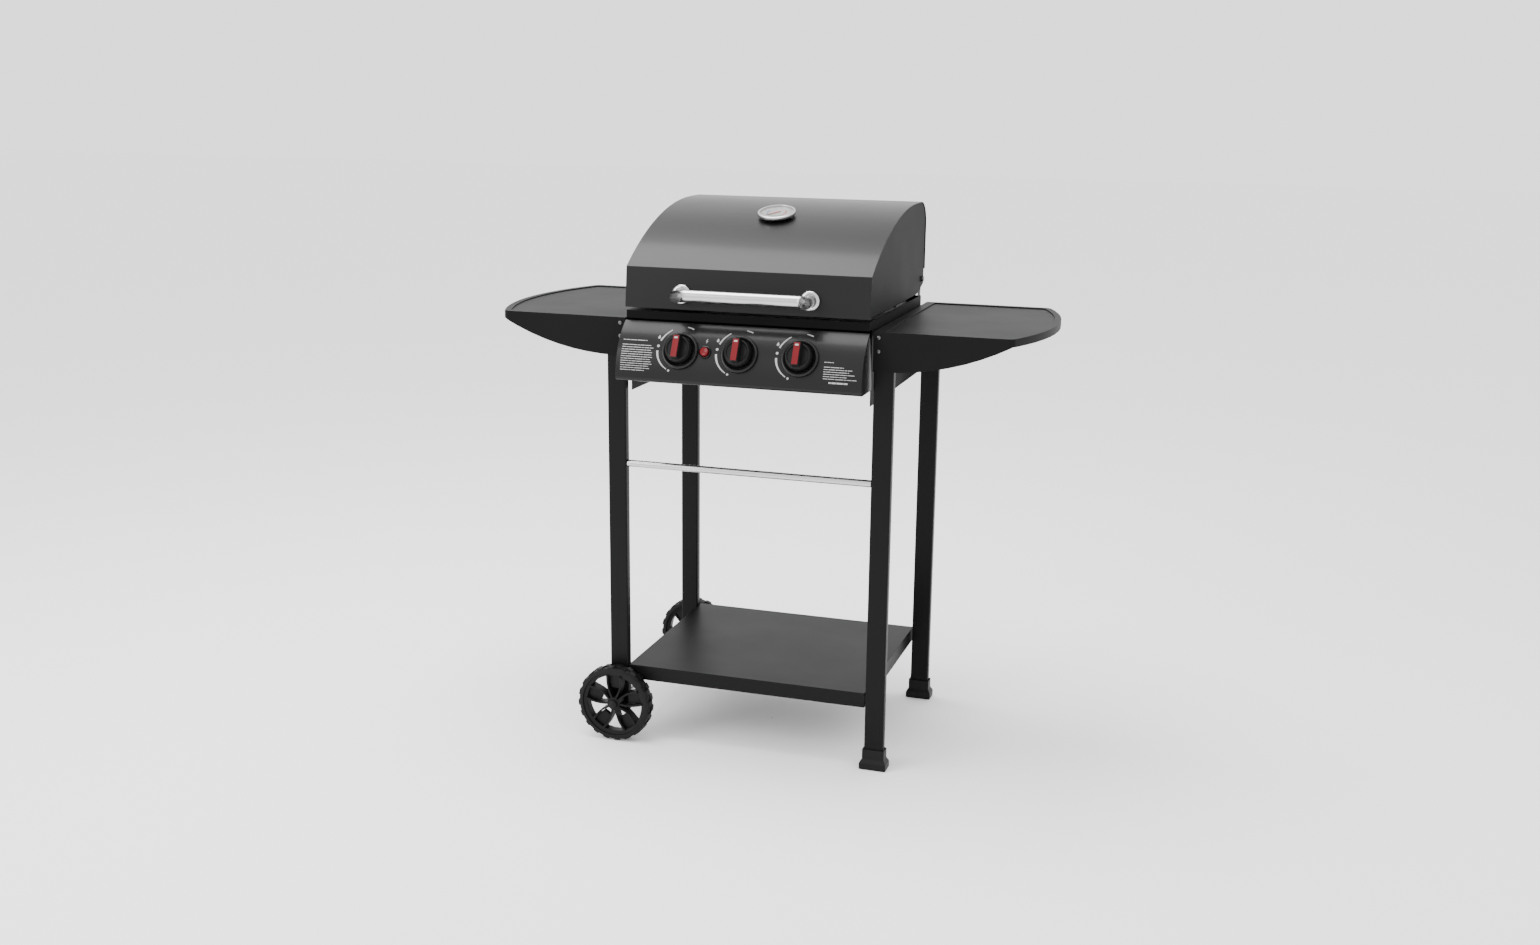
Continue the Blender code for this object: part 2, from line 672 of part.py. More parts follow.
def wheel(name, centre_y):
    """A moulded wheel: lugged tyre band, spoke plate and hub, joined."""
    rim = WHEEL_RADIUS - TYRE_DEPTH
    half = WHEEL_WIDTH / 2
    axis = empty(name + "_axis", (-LEG_CENTRE, centre_y, WHEEL_RADIUS), AXIS_TURN["Y"], CART)
    bore = circle((0, 0), AXLE_RADIUS + RUNNING_GAP, 12)
    tyre = plate(name, [lugged_outline(), circle((0, 0), rim, 30)], -half, half, parent=axis)
    web_outline = circle((0, 0), rim + 0.002, 30)
    spokes = plate(
        name + "_spokes", [web_outline, *spoke_windows(rim - 0.003), bore],
        -SPOKE_THICKNESS / 2, SPOKE_THICKNESS / 2, parent=axis,
    )
    hub = plate(name + "_hub", [circle((0, 0), HUB_RADIUS, 16), bore], -half, half, parent=axis)
    return finished(join(tyre, spokes, hub), name, BLACK_PLASTIC)


def hub_cap(name, centre_y, outward):
    """A push-on cap over the axle's end."""
    face = centre_y + outward * (WHEEL_WIDTH / 2 + RUNNING_GAP)
    grip = AXLE_RADIUS + GAP
    blind = HUB_CAP_HEIGHT - 0.0015
    profile = [
        (0.0, HUB_CAP_HEIGHT), (HUB_CAP_RADIUS * 0.7, HUB_CAP_HEIGHT * 0.85), (HUB_CAP_RADIUS, 0.002),
        (HUB_CAP_RADIUS, 0.0), (grip, 0.0), (grip, blind), (0.0, blind),
    ]
    turn = (-outward * math.pi / 2, 0.0, 0.0)
    piece = turned(name, profile, 12, (-LEG_CENTRE, face, WHEEL_RADIUS), turn)
    return finished(piece, name, BLACK_PLASTIC)


def running_gear():
    """Axle, wheels and caps."""
    reach = WHEEL_WIDTH / 2 + RUNNING_GAP + HUB_CAP_HEIGHT - 0.0015 - GAP
    axle = rod(
        "axle", AXLE_RADIUS, FRONT_WHEEL_Y - reach, REAR_WHEEL_Y + reach, "Y", (-LEG_CENTRE, WHEEL_RADIUS), 16
    )
    finished(axle, "axle", BRIGHT_STEEL)
    wheel("wheel_front", FRONT_WHEEL_Y)
    wheel("wheel_rear", REAR_WHEEL_Y)
    hub_cap("hub_cap_front", FRONT_WHEEL_Y, -1)
    hub_cap("hub_cap_rear", REAR_WHEEL_Y, 1)


def crossbar():
    """The towel bar between the front legs."""
    centre = (LEG_DEPTH / 2, CROSSBAR_HEIGHT)
    rings = [circle(centre, CROSSBAR_RADIUS, 20), circle(centre, CROSSBAR_RADIUS - PIPE_WALL, 20)]
    reach = LEG_INNER - GAP
    finished(smooth(plate("crossbar", rings, -reach, reach, "YZ")), "crossbar", BRIGHT_STEEL)


def bottom_shelf():
    """A pressed tray between the legs, its apron folded down."""
    half = LEG_INNER - SHELF_SIDE_GAP
    inset_y = SHEET
    low = (-half, inset_y, SHELF_TOP - SHELF_APRON)
    high = (half, CART_DEPTH - inset_y, SHELF_TOP)
    finished(open_box("bottom_shelf", low, high, SHEET), "bottom_shelf", POWDER_COAT)


# ---------------------------------------------------------------- side tables
def table_outline(rim=0.0, inner_rim=0.0, corner=TABLE_CORNER):
    """A table from above: straight inner edge, bowed outer edge, round corners, all moved in by the rims."""
    depth = TABLE_REAR - TABLE_FRONT
    radius = (depth ** 2 / 4 + TABLE_BULGE ** 2) / (2 * TABLE_BULGE)
    centre = (TABLE_REACH - radius, (TABLE_REAR + TABLE_FRONT) / 2)
    bow = radius - rim
    low, high = TABLE_FRONT + rim, TABLE_REAR - rim
    fillet = max(corner - rim, 0.004)
    reach = math.sqrt((bow - fillet) ** 2 - (high - fillet - centre[1]) ** 2)
    lean = math.degrees(math.atan2(high - fillet - centre[1], reach))
    points = [(TABLE_INNER + inner_rim, low)]
    points += arc((centre[0] + reach, low + fillet), fillet, -90, -lean, 3)
    points += arc(centre, bow, -lean, lean, 12)[1:-1]
    points += arc((centre[0] + reach, high - fillet), fillet, lean, 90, 3)
    points.append((TABLE_INNER + inner_rim, high))
    return points


def apron_profile():
    """What is cut away under a table, seen from the front: everything below the rising apron edge."""
    run = TABLE_REACH - TABLE_BULGE - TABLE_APRON_FLAT
    rise = TABLE_APRON - TABLE_EDGE
    radius = (run ** 2 + rise ** 2) / (2 * rise)
    bottom = TABLE_HEIGHT - TABLE_APRON
    end = math.degrees(math.asin(run / radius)) - 90
    points = [(TABLE_INNER - 0.02, bottom), (TABLE_APRON_FLAT, bottom)]
    points += arc((TABLE_APRON_FLAT, bottom + radius), radius, -90, end, 8)[1:]
    points.append((TABLE_REACH + 0.02, TABLE_HEIGHT - TABLE_EDGE))
    points += [(TABLE_REACH + 0.02, bottom - 0.02), (TABLE_INNER - 0.02, bottom - 0.02)]
    return points


def side_table(name, side):
    """A pressed table top with a raised rim, a deep apron that rises outwards, and a shallow inner flange."""
    def handed(points):
        return points if side > 0 else mirrored(points)

    bottom = TABLE_HEIGHT - TABLE_APRON
    margin = 0.03
    piece = plate(name, [handed(table_outline())], bottom, TABLE_HEIGHT)
    hollow = plate(
        name + "_hollow", [handed(table_outline(SHEET, SHEET))], bottom - margin, TABLE_PLATE_LOW
    )
    recess = plate(
        name + "_recess", [handed(table_outline(TABLE_RIM, TABLE_INNER_RIM))],
        TABLE_HEIGHT - TABLE_RECESS, TABLE_HEIGHT + margin,
    )
    under = plate(
        name + "_under", [handed(apron_profile())], TABLE_FRONT - margin, TABLE_REAR + margin, "XZ"
    )
    flange_low, flange_high = sorted((side * (TABLE_INNER - margin), side * (TABLE_INNER + 2 * SHEET)))
    flange = box(
        name + "_flange",
        (flange_low, TABLE_FRONT + SHEET, bottom - margin),
        (flange_high, TABLE_REAR - SHEET, TABLE_HEIGHT - TABLE_EDGE),
    )
    return finished(cut(piece, hollow, recess, under, flange), name, TABLE_PAINT)


# ---------------------------------------------------------------- firebox
def burner_places():
    """The burners' x positions, in line with the knobs."""
    middle = (BURNER_COUNT - 1) / 2
    return [KNOB_ROW_CENTRE + KNOB_PITCH * (index - middle) for index in range(BURNER_COUNT)]


def ledge(wall_y, inward, level):
    """The (y, z) outline of a strip on a firebox wall that something rests on."""
    edges = sorted((wall_y - inward * SHEET / 2, wall_y + inward * LEDGE))
    return rectangle((edges[0], level - SHEET), (edges[1], level))


def firebox_outlines():
    """The firebox from the side as (y, z): its end plates, the tub's hollow, and the space under the tub."""
    strip_low = FIREBOX_TOP - FIREBOX_STRIP
    ends = [
        (FIREBOX_FRONT, strip_low), (FIREBOX_SKIRT_FRONT, strip_low), (FIREBOX_SKIRT_FRONT, FIREBOX_SKIRT),
        (FIREBOX_REAR, FIREBOX_SKIRT), (FIREBOX_REAR, FIREBOX_TOP), (FIREBOX_FRONT, FIREBOX_TOP),
    ]
    tub = rectangle(
        (FIREBOX_WALL_FRONT + SHEET, FIREBOX_FLOOR + SHEET), (FIREBOX_REAR - SHEET, FIREBOX_TOP + 0.03)
    )
    strip_inner, roof, beyond = FIREBOX_FRONT + SHEET, FIREBOX_TOP - SHEET, FIREBOX_SKIRT - 0.02
    under = [
        (strip_inner, roof), (strip_inner, beyond), (FIREBOX_REAR + 0.02, beyond),
        (FIREBOX_REAR + 0.02, FIREBOX_FLOOR), (FIREBOX_WALL_FRONT, FIREBOX_FLOOR), (FIREBOX_WALL_FRONT, roof),
    ]
    return ends, tub, under


def firebox():
    """A sheet tub with side skirts, a front strip over the valve bay, burner holes and a drip opening."""
    inner = FIREBOX_HALF - SHEET
    ends, tub, under = firebox_outlines()
    front_wall, rear_wall = FIREBOX_WALL_FRONT + SHEET, FIREBOX_REAR - SHEET
    piece = plate("firebox", [ends], -FIREBOX_HALF, FIREBOX_HALF, "YZ")
    holes = [[circle((x, BURNER_HEIGHT), radius + GAP, 16) for x in burner_places()]
             for radius in (VENTURI_RADIUS, BURNER_PIN_RADIUS)]
    cut(
        piece,
        plate("firebox_tub", [tub], -inner, inner, "YZ"),
        plate("firebox_under", [under], -inner, inner, "YZ"),
        drip_cutter(),
        plate("firebox_venturi_holes", holes[0], FIREBOX_WALL_FRONT - 0.01, front_wall + 0.01, "XZ"),
        plate("firebox_pin_holes", holes[1], rear_wall - 0.01, FIREBOX_REAR + 0.01, "XZ"),
    )
    ledges = [ledge(wall, inward, level) for wall, inward in ((front_wall, 1), (rear_wall, -1))
              for level in (GRATE_LEDGE, TENT_LEDGE)]
    reach = inner - 0.002
    join(piece, plate("firebox_ledges", ledges, -reach, reach, "YZ"))
    return finished(piece, "firebox", ENAMEL)


def drip_cutter():
    """The opening in the floor over the grease tray."""
    middle = TRAY_REAR - TRAY_LENGTH / 2
    half_x, half_y = DRIP_OPENING[0] / 2 - 0.01, DRIP_OPENING[1] / 2
    return box(
        "firebox_drip", (-half_x, middle - half_y, FIREBOX_FLOOR - 0.01),
        (half_x, middle + half_y, FIREBOX_FLOOR + 0.01),
    )


def burner(index, x):
    """A tube burner: an open venturi at the front, a closed end and a pin in the rear wall."""
    start = FIREBOX_WALL_FRONT - 0.018
    neck = FIREBOX_WALL_FRONT + 0.020
    end = FIREBOX_REAR - SHEET - 0.022
    tip = FIREBOX_REAR + 0.004
    wall = PIPE_WALL
    length = tip - start
    profile = [
        (0.0, length), (BURNER_PIN_RADIUS, length), (BURNER_PIN_RADIUS, end - start + 0.003),
        (BURNER_RADIUS, end - start), (BURNER_RADIUS, neck - start + 0.004), (VENTURI_RADIUS, neck - start),
        (VENTURI_RADIUS, 0.0), (VENTURI_RADIUS - wall, 0.0), (VENTURI_RADIUS - wall, neck - start),
        (BURNER_RADIUS - wall, neck - start + 0.004), (BURNER_RADIUS - wall, end - start - wall),
        (0.0, end - start - wall),
    ]
    piece = turned(f"burner_{index}", profile, 16, (x, start, BURNER_HEIGHT), (-math.pi / 2, 0.0, 0.0))
    return finished(piece, f"burner_{index}", STAINLESS)


def heat_tent(index, x):
    """A folded steel roof over a burner, resting on the two lower ledges."""
    front = FIREBOX_WALL_FRONT + SHEET + 0.002
    rear = FIREBOX_REAR - SHEET - 0.002
    low = TENT_LEDGE + GAP
    half = TENT_WIDTH / 2
    top = [(x - half, low + SHEET), (x, low + SHEET + TENT_RISE), (x + half, low + SHEET)]
    under = [(x + half, low), (x, low + TENT_RISE - 0.0003), (x - half, low)]
    piece = plate(f"heat_tent_{index}", [top + under], front, rear, "XZ")
    return finished(piece, f"heat_tent_{index}", STAINLESS)


def grate(name, side):
    """A cooking grate: a frame, long bars and one cross bar, on the upper ledges."""
    inner = GRATE_MIDDLE_GAP / 2
    outer = GRATE_OUTER
    front = FIREBOX_WALL_FRONT + SHEET + GRATE_WALL_GAP
    rear = FIREBOX_REAR - SHEET - GRATE_WALL_GAP
    frame = [rectangle((inner, front), (outer, rear))]
    pitch = GRATE_PITCH
    middle = (front + rear) / 2
    spans = ((front + GRATE_BAR, middle - GRATE_BAR / 2), (middle + GRATE_BAR / 2, rear - GRATE_BAR))
    for index in range(GRATE_SLOTS):
        x = inner + GRATE_BAR + pitch * index
        frame += [rectangle((x, low), (x + pitch - GRATE_BAR, high)) for low, high in spans]
    if side < 0:
        frame = [mirrored(outline) for outline in frame]
    low = GRATE_LEDGE + GAP
    return finished(plate(name, frame, low, low + GRATE_THICKNESS), name, CAST_IRON)


def warming_rack():
    """A wire rack on four legs that stands on the cooking grates."""
    rear = PIVOT_Y - RACK_LID_ROOM
    front = rear - RACK_DEPTH
    low, far = GRATE_TOP + GAP, 0.05
    rack = box("warming_rack", (-RACK_HALF, front, low), (RACK_HALF, rear, RACK_HEIGHT + RACK_WIRE))
    across, along = RACK_HALF - RACK_WIRE, RACK_WIRE
    edge = 1.25 * RACK_WIRE
    pitch = (2 * (RACK_HALF - edge) + RACK_WIRE) / RACK_SLOTS
    windows = []
    for index in range(RACK_SLOTS):
        x = -RACK_HALF + edge + pitch * index
        windows.append(rectangle((x, front + edge), (x + pitch - RACK_WIRE, rear - edge)))
    cut(
        rack,
        box("rack_room_front", (-across, front - far, low - far), (across, rear + far, RACK_HEIGHT)),
        box(
            "rack_room_side",
            (-RACK_HALF - far, front + along, low - far), (RACK_HALF + far, rear - along, RACK_HEIGHT),
        ),
        plate("rack_windows", windows, RACK_HEIGHT - far, RACK_HEIGHT + far),
    )
    return finished(rack, "warming_rack", BRIGHT_STEEL)


def grease_tray():
    """A shallow tray that slides out to the rear, with a finger lip."""
    front = TRAY_REAR - TRAY_LENGTH
    top = FIREBOX_FLOOR - RUNNER_LEG
    tray = open_box(
        "grease_tray", (-TRAY_HALF, front, top - TRAY_DEPTH), (TRAY_HALF, TRAY_REAR, top), SHEET, (0, 0, 1)
    )
    lip = box(
        "tray_lip", (-TRAY_HALF / 3, TRAY_REAR - SHEET / 2, top - 1.5 * SHEET),
        (TRAY_HALF / 3, TRAY_REAR + TRAY_LIP, top - 0.5 * SHEET),
    )
    return finished(join(tray, lip), "grease_tray", STAINLESS)


def tray_runner(name, side):
    """A folded strip under the firebox that carries one edge of the tray."""
    front = TRAY_REAR - TRAY_LENGTH - 0.01
    top = FIREBOX_FLOOR - GAP
    low = FIREBOX_FLOOR - RUNNER_LEG - TRAY_DEPTH - RUNNING_GAP
    wall = TRAY_HALF + RUNNING_GAP
    outline = [
        (wall - RUNNER_LEG, low - SHEET), (wall + SHEET, low - SHEET), (wall + SHEET, top - SHEET),
        (wall + RUNNER_LEG, top - SHEET), (wall + RUNNER_LEG, top), (wall, top), (wall, low),
        (wall - RUNNER_LEG, low),
    ]
    outline = outline if side > 0 else mirrored(outline)
    return finished(plate(name, [outline], front, TRAY_REAR - 0.01, "XZ"), name, POWDER_COAT)


def lid_bracket(name, side):
    """A plate inside the firebox's rear corner that carries the lid's pivot."""
    face = FIREBOX_HALF - SHEET - GAP
    low_x, high_x = sorted((side * (face - SHEET), side * face))
    low_z = FIREBOX_TOP - BRACKET_HEIGHT
    half = BRACKET_RADIUS
    rear = min(PIVOT_Y + half, FIREBOX_REAR - SHEET - GAP)
    outline = [(PIVOT_Y - half * 2, low_z), (rear, low_z), (rear, FIREBOX_TOP + 0.002)]
    outline += arc((PIVOT_Y, PIVOT_Z), half, -10, 180, 8)
    outline.append((PIVOT_Y - half * 2, FIREBOX_TOP))
    hole = circle((PIVOT_Y, PIVOT_Z), PIVOT_RADIUS + GAP, 12)
    return finished(plate(name, [outline, hole], low_x, high_x, "YZ"), name, POWDER_COAT)


def cooking_parts():
    """Everything that hangs in or under the firebox."""
    firebox()
    for index, x in enumerate(burner_places()):
        burner(index + 1, x)
        heat_tent(index + 1, x)
    grate("grate_left", -1)
    grate("grate_right", 1)
    warming_rack()
    grease_tray()
    tray_runner("tray_runner_left", -1)
    tray_runner("tray_runner_right", 1)
    lid_bracket("lid_bracket_left", -1)
    lid_bracket("lid_bracket_right", 1)


# ---------------------------------------------------------------- lid
def lid_profile():
    """The lid's outer line as (y, z), from the front bottom edge over the top to the rear foot."""
    centre = (LID_CREST, LID_TOP - LID_ARC_RADIUS)
    start = math.degrees(math.atan2(LID_CREASE - centre[1], LID_CREASE_Y - centre[0]))
    corner = (LID_REAR - LID_REAR_CORNER, LID_TOP - LID_REAR_CORNER)
    points = [(LID_FRONT, LID_BOTTOM)]
    points += arc(centre, LID_ARC_RADIUS, start, 90, 12)
    points += arc(corner, LID_REAR_CORNER, 90, 0, LID_CORNER_STEPS)
    points.append((LID_REAR, LID_REAR_FOOT))
    return points


def lid_wrapper():
    """The lid's front, top and back in one sheet, with a hem at the front edge."""
    profile = [(LID_FRONT + LID_HEM, LID_BOTTOM), *lid_profile()]
    piece = folded_sheet("lid_wrapper", profile, LID_HALF, SHEET, LID_SHEET_SIDE)
    reach = FIREBOX_HALF - 2 * SHEET - 2 * GAP - 0.001
    for side in (-1, 1):
        edges = sorted((side * reach, side * (LID_HALF + 0.01)))
        cut(piece, box(
            f"lid_notch_{side + 1}", (edges[0], LID_REAR - 0.02, LID_REAR_FOOT - 0.01),
            (edges[1], LID_REAR + 0.01, PIVOT_Z + BRACKET_RADIUS * 2),
        ))
    face_normal = (-LID_FACE_HEIGHT, LID_FACE_LEAN)
    lean = math.atan2(face_normal[1], -face_normal[0])
    for side in (-1, 1):
        cut(piece, sheet_hole(
            f"lid_handle_hole_{side + 1}", HANDLE_SCREW_RADIUS + GAP,
            (side * HANDLE_HALF, HANDLE_FACE, HANDLE_HEIGHT), (math.pi / 2 - lean, 0.0, 0.0),
        ))
    place, tilt = lid_surface(THERMOMETER_Y)
    cut(piece, sheet_hole("lid_probe_hole", PROBE_RADIUS + GAP, (0.0, *place), (tilt, 0.0, 0.0)))
    return finished(piece, "lid_wrapper", ENAMEL)


def lid_surface(y):
    """A point (y, z) on the lid's curved top and the tilt about X of its outward normal."""
    tilt = math.asin((LID_CREST - y) / LID_ARC_RADIUS)
    return (y, LID_TOP - LID_ARC_RADIUS * (1 - math.cos(tilt))), tilt


def sheet_hole(name, radius, location, rotation):
    """A short cylinder through the sheet, square to it."""
    def build(shape):
        bmesh.ops.create_cone(shape, cap_ends=True, segments=12, radius1=radius, radius2=radius, depth=0.02)

    return new_mesh(name, build, location, rotation)


def lid_end(name, side):
    """An end panel inside the wrapper's edge, with a slot behind it and a round lower rear corner."""
    outline = lid_profile()
    sides = [SHEET + GAP] * (len(outline) - 1)
    sides[-1] += LID_END_GAP
    for step in range(LID_CORNER_STEPS):
        sides[-2 - step] += LID_END_GAP * (LID_CORNER_STEPS - step) / (LID_CORNER_STEPS + 1)
    outline += [(LID_REAR - 0.040, LID_BOTTOM + 0.006), (LID_REAR - 0.070, LID_BOTTOM)]
    sides += [GAP, GAP, SHEET + GAP]
    inner = inset(outline, sides)
    low_x, high_x = sorted((side * (LID_HALF - 2 * SHEET), side * (LID_HALF - SHEET)))
    hole = circle((PIVOT_Y, PIVOT_Z), PIVOT_RADIUS + RUNNING_GAP, 12)
    return finished(plate(name, [inner, hole], low_x, high_x, "YZ"), name, ENAMEL)


def pivot_bolt(name, side):
    """The lid's pivot: a bolt through the end panel and the bracket, with its head outside."""
    start = FIREBOX_HALF - 2 * SHEET - 2 * GAP - 0.004
    shoulder = LID_HALF - SHEET + RUNNING_GAP
    length = PIVOT_REACH - start
    head = PIVOT_RADIUS * 2
    nut = shoulder - start
    profile = [
        (0.0, length), (head * 0.7, length), (head, length - 0.001), (head, nut), (PIVOT_RADIUS, nut),
        (PIVOT_RADIUS, 0.0), (0.0, 0.0),
    ]
    turn = (0.0, side * math.pi / 2, 0.0)
    piece = turned(name, profile, 12, (side * start, PIVOT_Y, PIVOT_Z), turn)
    return finished(piece, name, STAINLESS)


def handle_boss(name, side):
    """A round foot of the handle, screwed through the lid's face."""
    lean = math.atan2(LID_FACE_LEAN, LID_FACE_HEIGHT)
    top = BOSS_THICKNESS
    profile = [
        (0.0, top), (HANDLE_RADIUS, top), (BOSS_RADIUS - 0.003, top - 0.0012), (BOSS_RADIUS, top - 0.004),
        (BOSS_RADIUS, GAP), (HANDLE_SCREW_RADIUS, GAP), (HANDLE_SCREW_RADIUS, -0.010), (0.0, -0.010),
    ]
    location = (side * HANDLE_HALF, HANDLE_FACE, HANDLE_HEIGHT)
    piece = turned(name, profile, 24, location, (math.pi / 2 - lean, 0.0, 0.0))
    return finished(piece, name, BRIGHT_STEEL)


def lid_handle():
    """A tube bent back to its bosses at both ends."""
    root = HANDLE_FACE - BOSS_THICKNESS - GAP - HANDLE_RADIUS * LID_FACE_LEAN / LID_FACE_HEIGHT
    bend = HANDLE_BEND
    path = [(HANDLE_HALF, root)]
    path += arc((HANDLE_HALF - bend, HANDLE_BAR_Y + bend), bend, 0, -90, 5)
    right = [(x, y, HANDLE_HEIGHT) for x, y in path]
    left = [(-x, y, z) for x, y, z in reversed(right)]
    return finished(bent_tube("lid_handle", right + left, HANDLE_RADIUS, 4), "lid_handle", BRIGHT_STEEL)


def thermometer():
    """A dial thermometer through the lid: case with probe, dial and needle."""
    place, tilt = lid_surface(THERMOMETER_Y)
    axis = empty("thermometer_axis", (0.0, *place), (tilt, 0.0, 0.0), CART)
    # The case stands clear of the curved sheet, whose middle rises between the rim's ends.
    seat = GAP
    top = seat + THERMOMETER_HEIGHT
    floor = top - DIAL_DEPTH
    profile = [
        (DIAL_RADIUS + GAP, top), (THERMOMETER_RADIUS - 0.0015, top), (THERMOMETER_RADIUS, top - 0.0015),
        (THERMOMETER_RADIUS, seat + 0.003), (THERMOMETER_RADIUS * 0.6, seat), (PROBE_RADIUS, seat),
        (PROBE_RADIUS, -PROBE_LENGTH), (0.0, -PROBE_LENGTH),
    ]
    profile = [(0.0, floor), (DIAL_RADIUS + GAP, floor), *profile]
    case = turned("thermometer_case", profile, 32, parent=axis)
    finished(case, "thermometer_case", BRIGHT_STEEL)
    dial_low = floor + GAP
    dial_high = dial_low + DIAL_THICKNESS
    dial = rod("thermometer_dial", DIAL_RADIUS, dial_low, dial_high, steps=32, parent=axis)
    finished(dial, "thermometer_dial", DIAL_PAINT)
    needle_low = dial_high + RUNNING_GAP
    turn = math.radians(225)
    ahead = Vector((math.cos(turn), math.sin(turn)))
    across = Vector((-ahead.y, ahead.x))
    outline = [ahead * NEEDLE_LENGTH, ahead * 0.003 + across * 0.0022, ahead * -0.008 + across * 0.0014]
    outline += [ahead * -0.008 - across * 0.0014, ahead * 0.003 - across * 0.0022]
    needle = plate(
        "thermometer_needle", [[tuple(point) for point in outline]],
        needle_low, needle_low + NEEDLE_THICKNESS, parent=axis,
    )
    finished(needle, "thermometer_needle", NEEDLE_PAINT)


def lid():
    """The lid with its handle and thermometer."""
    lid_wrapper()
    for name, side in (("left", -1), ("right", 1)):
        lid_end("lid_end_" + name, side)
        pivot_bolt("lid_pivot_" + name, side)
        handle_boss("handle_boss_" + name, side)
    lid_handle()
    thermometer()


# ---------------------------------------------------------------- control panel and gas
def panel_outline(wall=0.0):
    """The control panel from the side as (y, z): curved face, rounded lower edge, open back."""
    top_angle = 180 - math.degrees(math.asin(PANEL_ARC_HEIGHT / PANEL_ARC_RADIUS))
    back = PANEL_FRONT + PANEL_DEPTH
    corner = PANEL_SHOULDER - 0.0001
    corner_centre = (PANEL_FRONT + corner, PANEL_BOTTOM + corner)
    tail = [(back, PANEL_BOTTOM), (back, PANEL_BOTTOM + 0.014)]
    if wall:
        top_angle -= 3
        tail = [(back + 0.02, PANEL_BOTTOM + wall), (back + 0.02, PANEL_TOP + 0.01)]
    points = arc(PANEL_ARC_CENTRE, PANEL_ARC_RADIUS - wall, top_angle, 180, 9)
    points += arc(corner_centre, corner - wall, 180, 270, 3)
    return points + tail


def knob_axis(name, x):
    """A guide on the fascia whose +Z points out of it, square to the surface."""
    return empty(name, (x, KNOB_SURFACE_Y, KNOB_HEIGHT), (math.pi / 2 - KNOB_TILT, 0.0, 0.0), CART)


def control_panel():
    """The fascia: a solid of its side outline hollowed from behind, with holes for stems and button."""
    piece = plate("control_panel", [panel_outline()], -PANEL_HALF, PANEL_HALF, "YZ")
    end = PANEL_HALF - SHEET
    cut(piece, plate("panel_hollow", [panel_outline(SHEET)], -end, end, "YZ"))
    for index, x in enumerate(burner_places()):
        guide = knob_axis(f"stem_hole_axis_{index + 1}", x)
        cut(piece, rod(f"stem_hole_{index + 1}", STEM_RADIUS + 0.0015, -0.01, 0.01, steps=12, parent=guide))
    guide = knob_axis("button_hole_axis", KNOB_ROW_CENTRE - BUTTON_OFFSET)
    cut(piece, rod("button_hole", BUTTON_RADIUS + RUNNING_GAP, -0.01, 0.01, steps=16, parent=guide))
    return finished(piece, "control_panel", ENAMEL)


def burner_control(index, x):
    """One gas tap: valve body, turning stem, bezel, knob and its red grip."""
    axis = knob_axis(f"knob_axis_{index}", x)
    valve_end = -VALVE_START - VALVE_LENGTH
    plug_end = valve_end + 0.008
    body = rod(f"valve_{index}", VALVE_RADIUS, valve_end, -VALVE_START, steps=16, parent=axis)
    nozzle_y = KNOB_SURFACE_Y - (valve_end + 0.006) * math.cos(KNOB_TILT)
    nozzle = rod(
        f"valve_nozzle_{index}", NOZZLE_RADIUS, nozzle_y, FIREBOX_WALL_FRONT - 0.010, "Y",
        (x, BURNER_HEIGHT), 12,
    )
    join(body, nozzle)
    cut(body, rod(
        f"valve_bore_{index}", PLUG_RADIUS + RUNNING_GAP, plug_end, 0.0, steps=16, parent=axis
    ))
    finished(body, f"valve_{index}", BRASS)
    stem_top = BEZEL_HEIGHT + KNOB_BODY
    plug_top = -VALVE_START - 0.001
    profile = [
        (0.0, stem_top), (STEM_RADIUS, stem_top), (STEM_RADIUS, plug_top), (PLUG_RADIUS, plug_top),
        (PLUG_RADIUS, plug_end + RUNNING_GAP), (0.0, plug_end + RUNNING_GAP),
    ]
    finished(turned(f"valve_stem_{index}", profile, 12, parent=axis), f"valve_stem_{index}", BRASS)
    seat = BEZEL_SEAT
    ring = [
        (BEZEL_RADIUS - BEZEL_RIM, BEZEL_HEIGHT), (BEZEL_RADIUS, BEZEL_HEIGHT - 0.002),
        (BEZEL_RADIUS, -BEZEL_SKIRT), (STEM_RADIUS + 0.002, -BEZEL_SKIRT),
        (STEM_RADIUS + 0.002, seat + SHEET), (KNOB_RADIUS + 0.001, seat + SHEET),
    ]
    bezel = turned(f"bezel_{index}", ring, 32, parent=axis, ring=True)
    reach = BEZEL_RADIUS * 2
    curve = rod(
        f"bezel_seat_{index}", PANEL_ARC_RADIUS + seat, x - reach, x + reach, "X", PANEL_ARC_CENTRE, 140
    )
    cut(bezel, curve)
    finished(bezel, f"bezel_{index}", BLACK_PLASTIC)
    knob(index, axis)


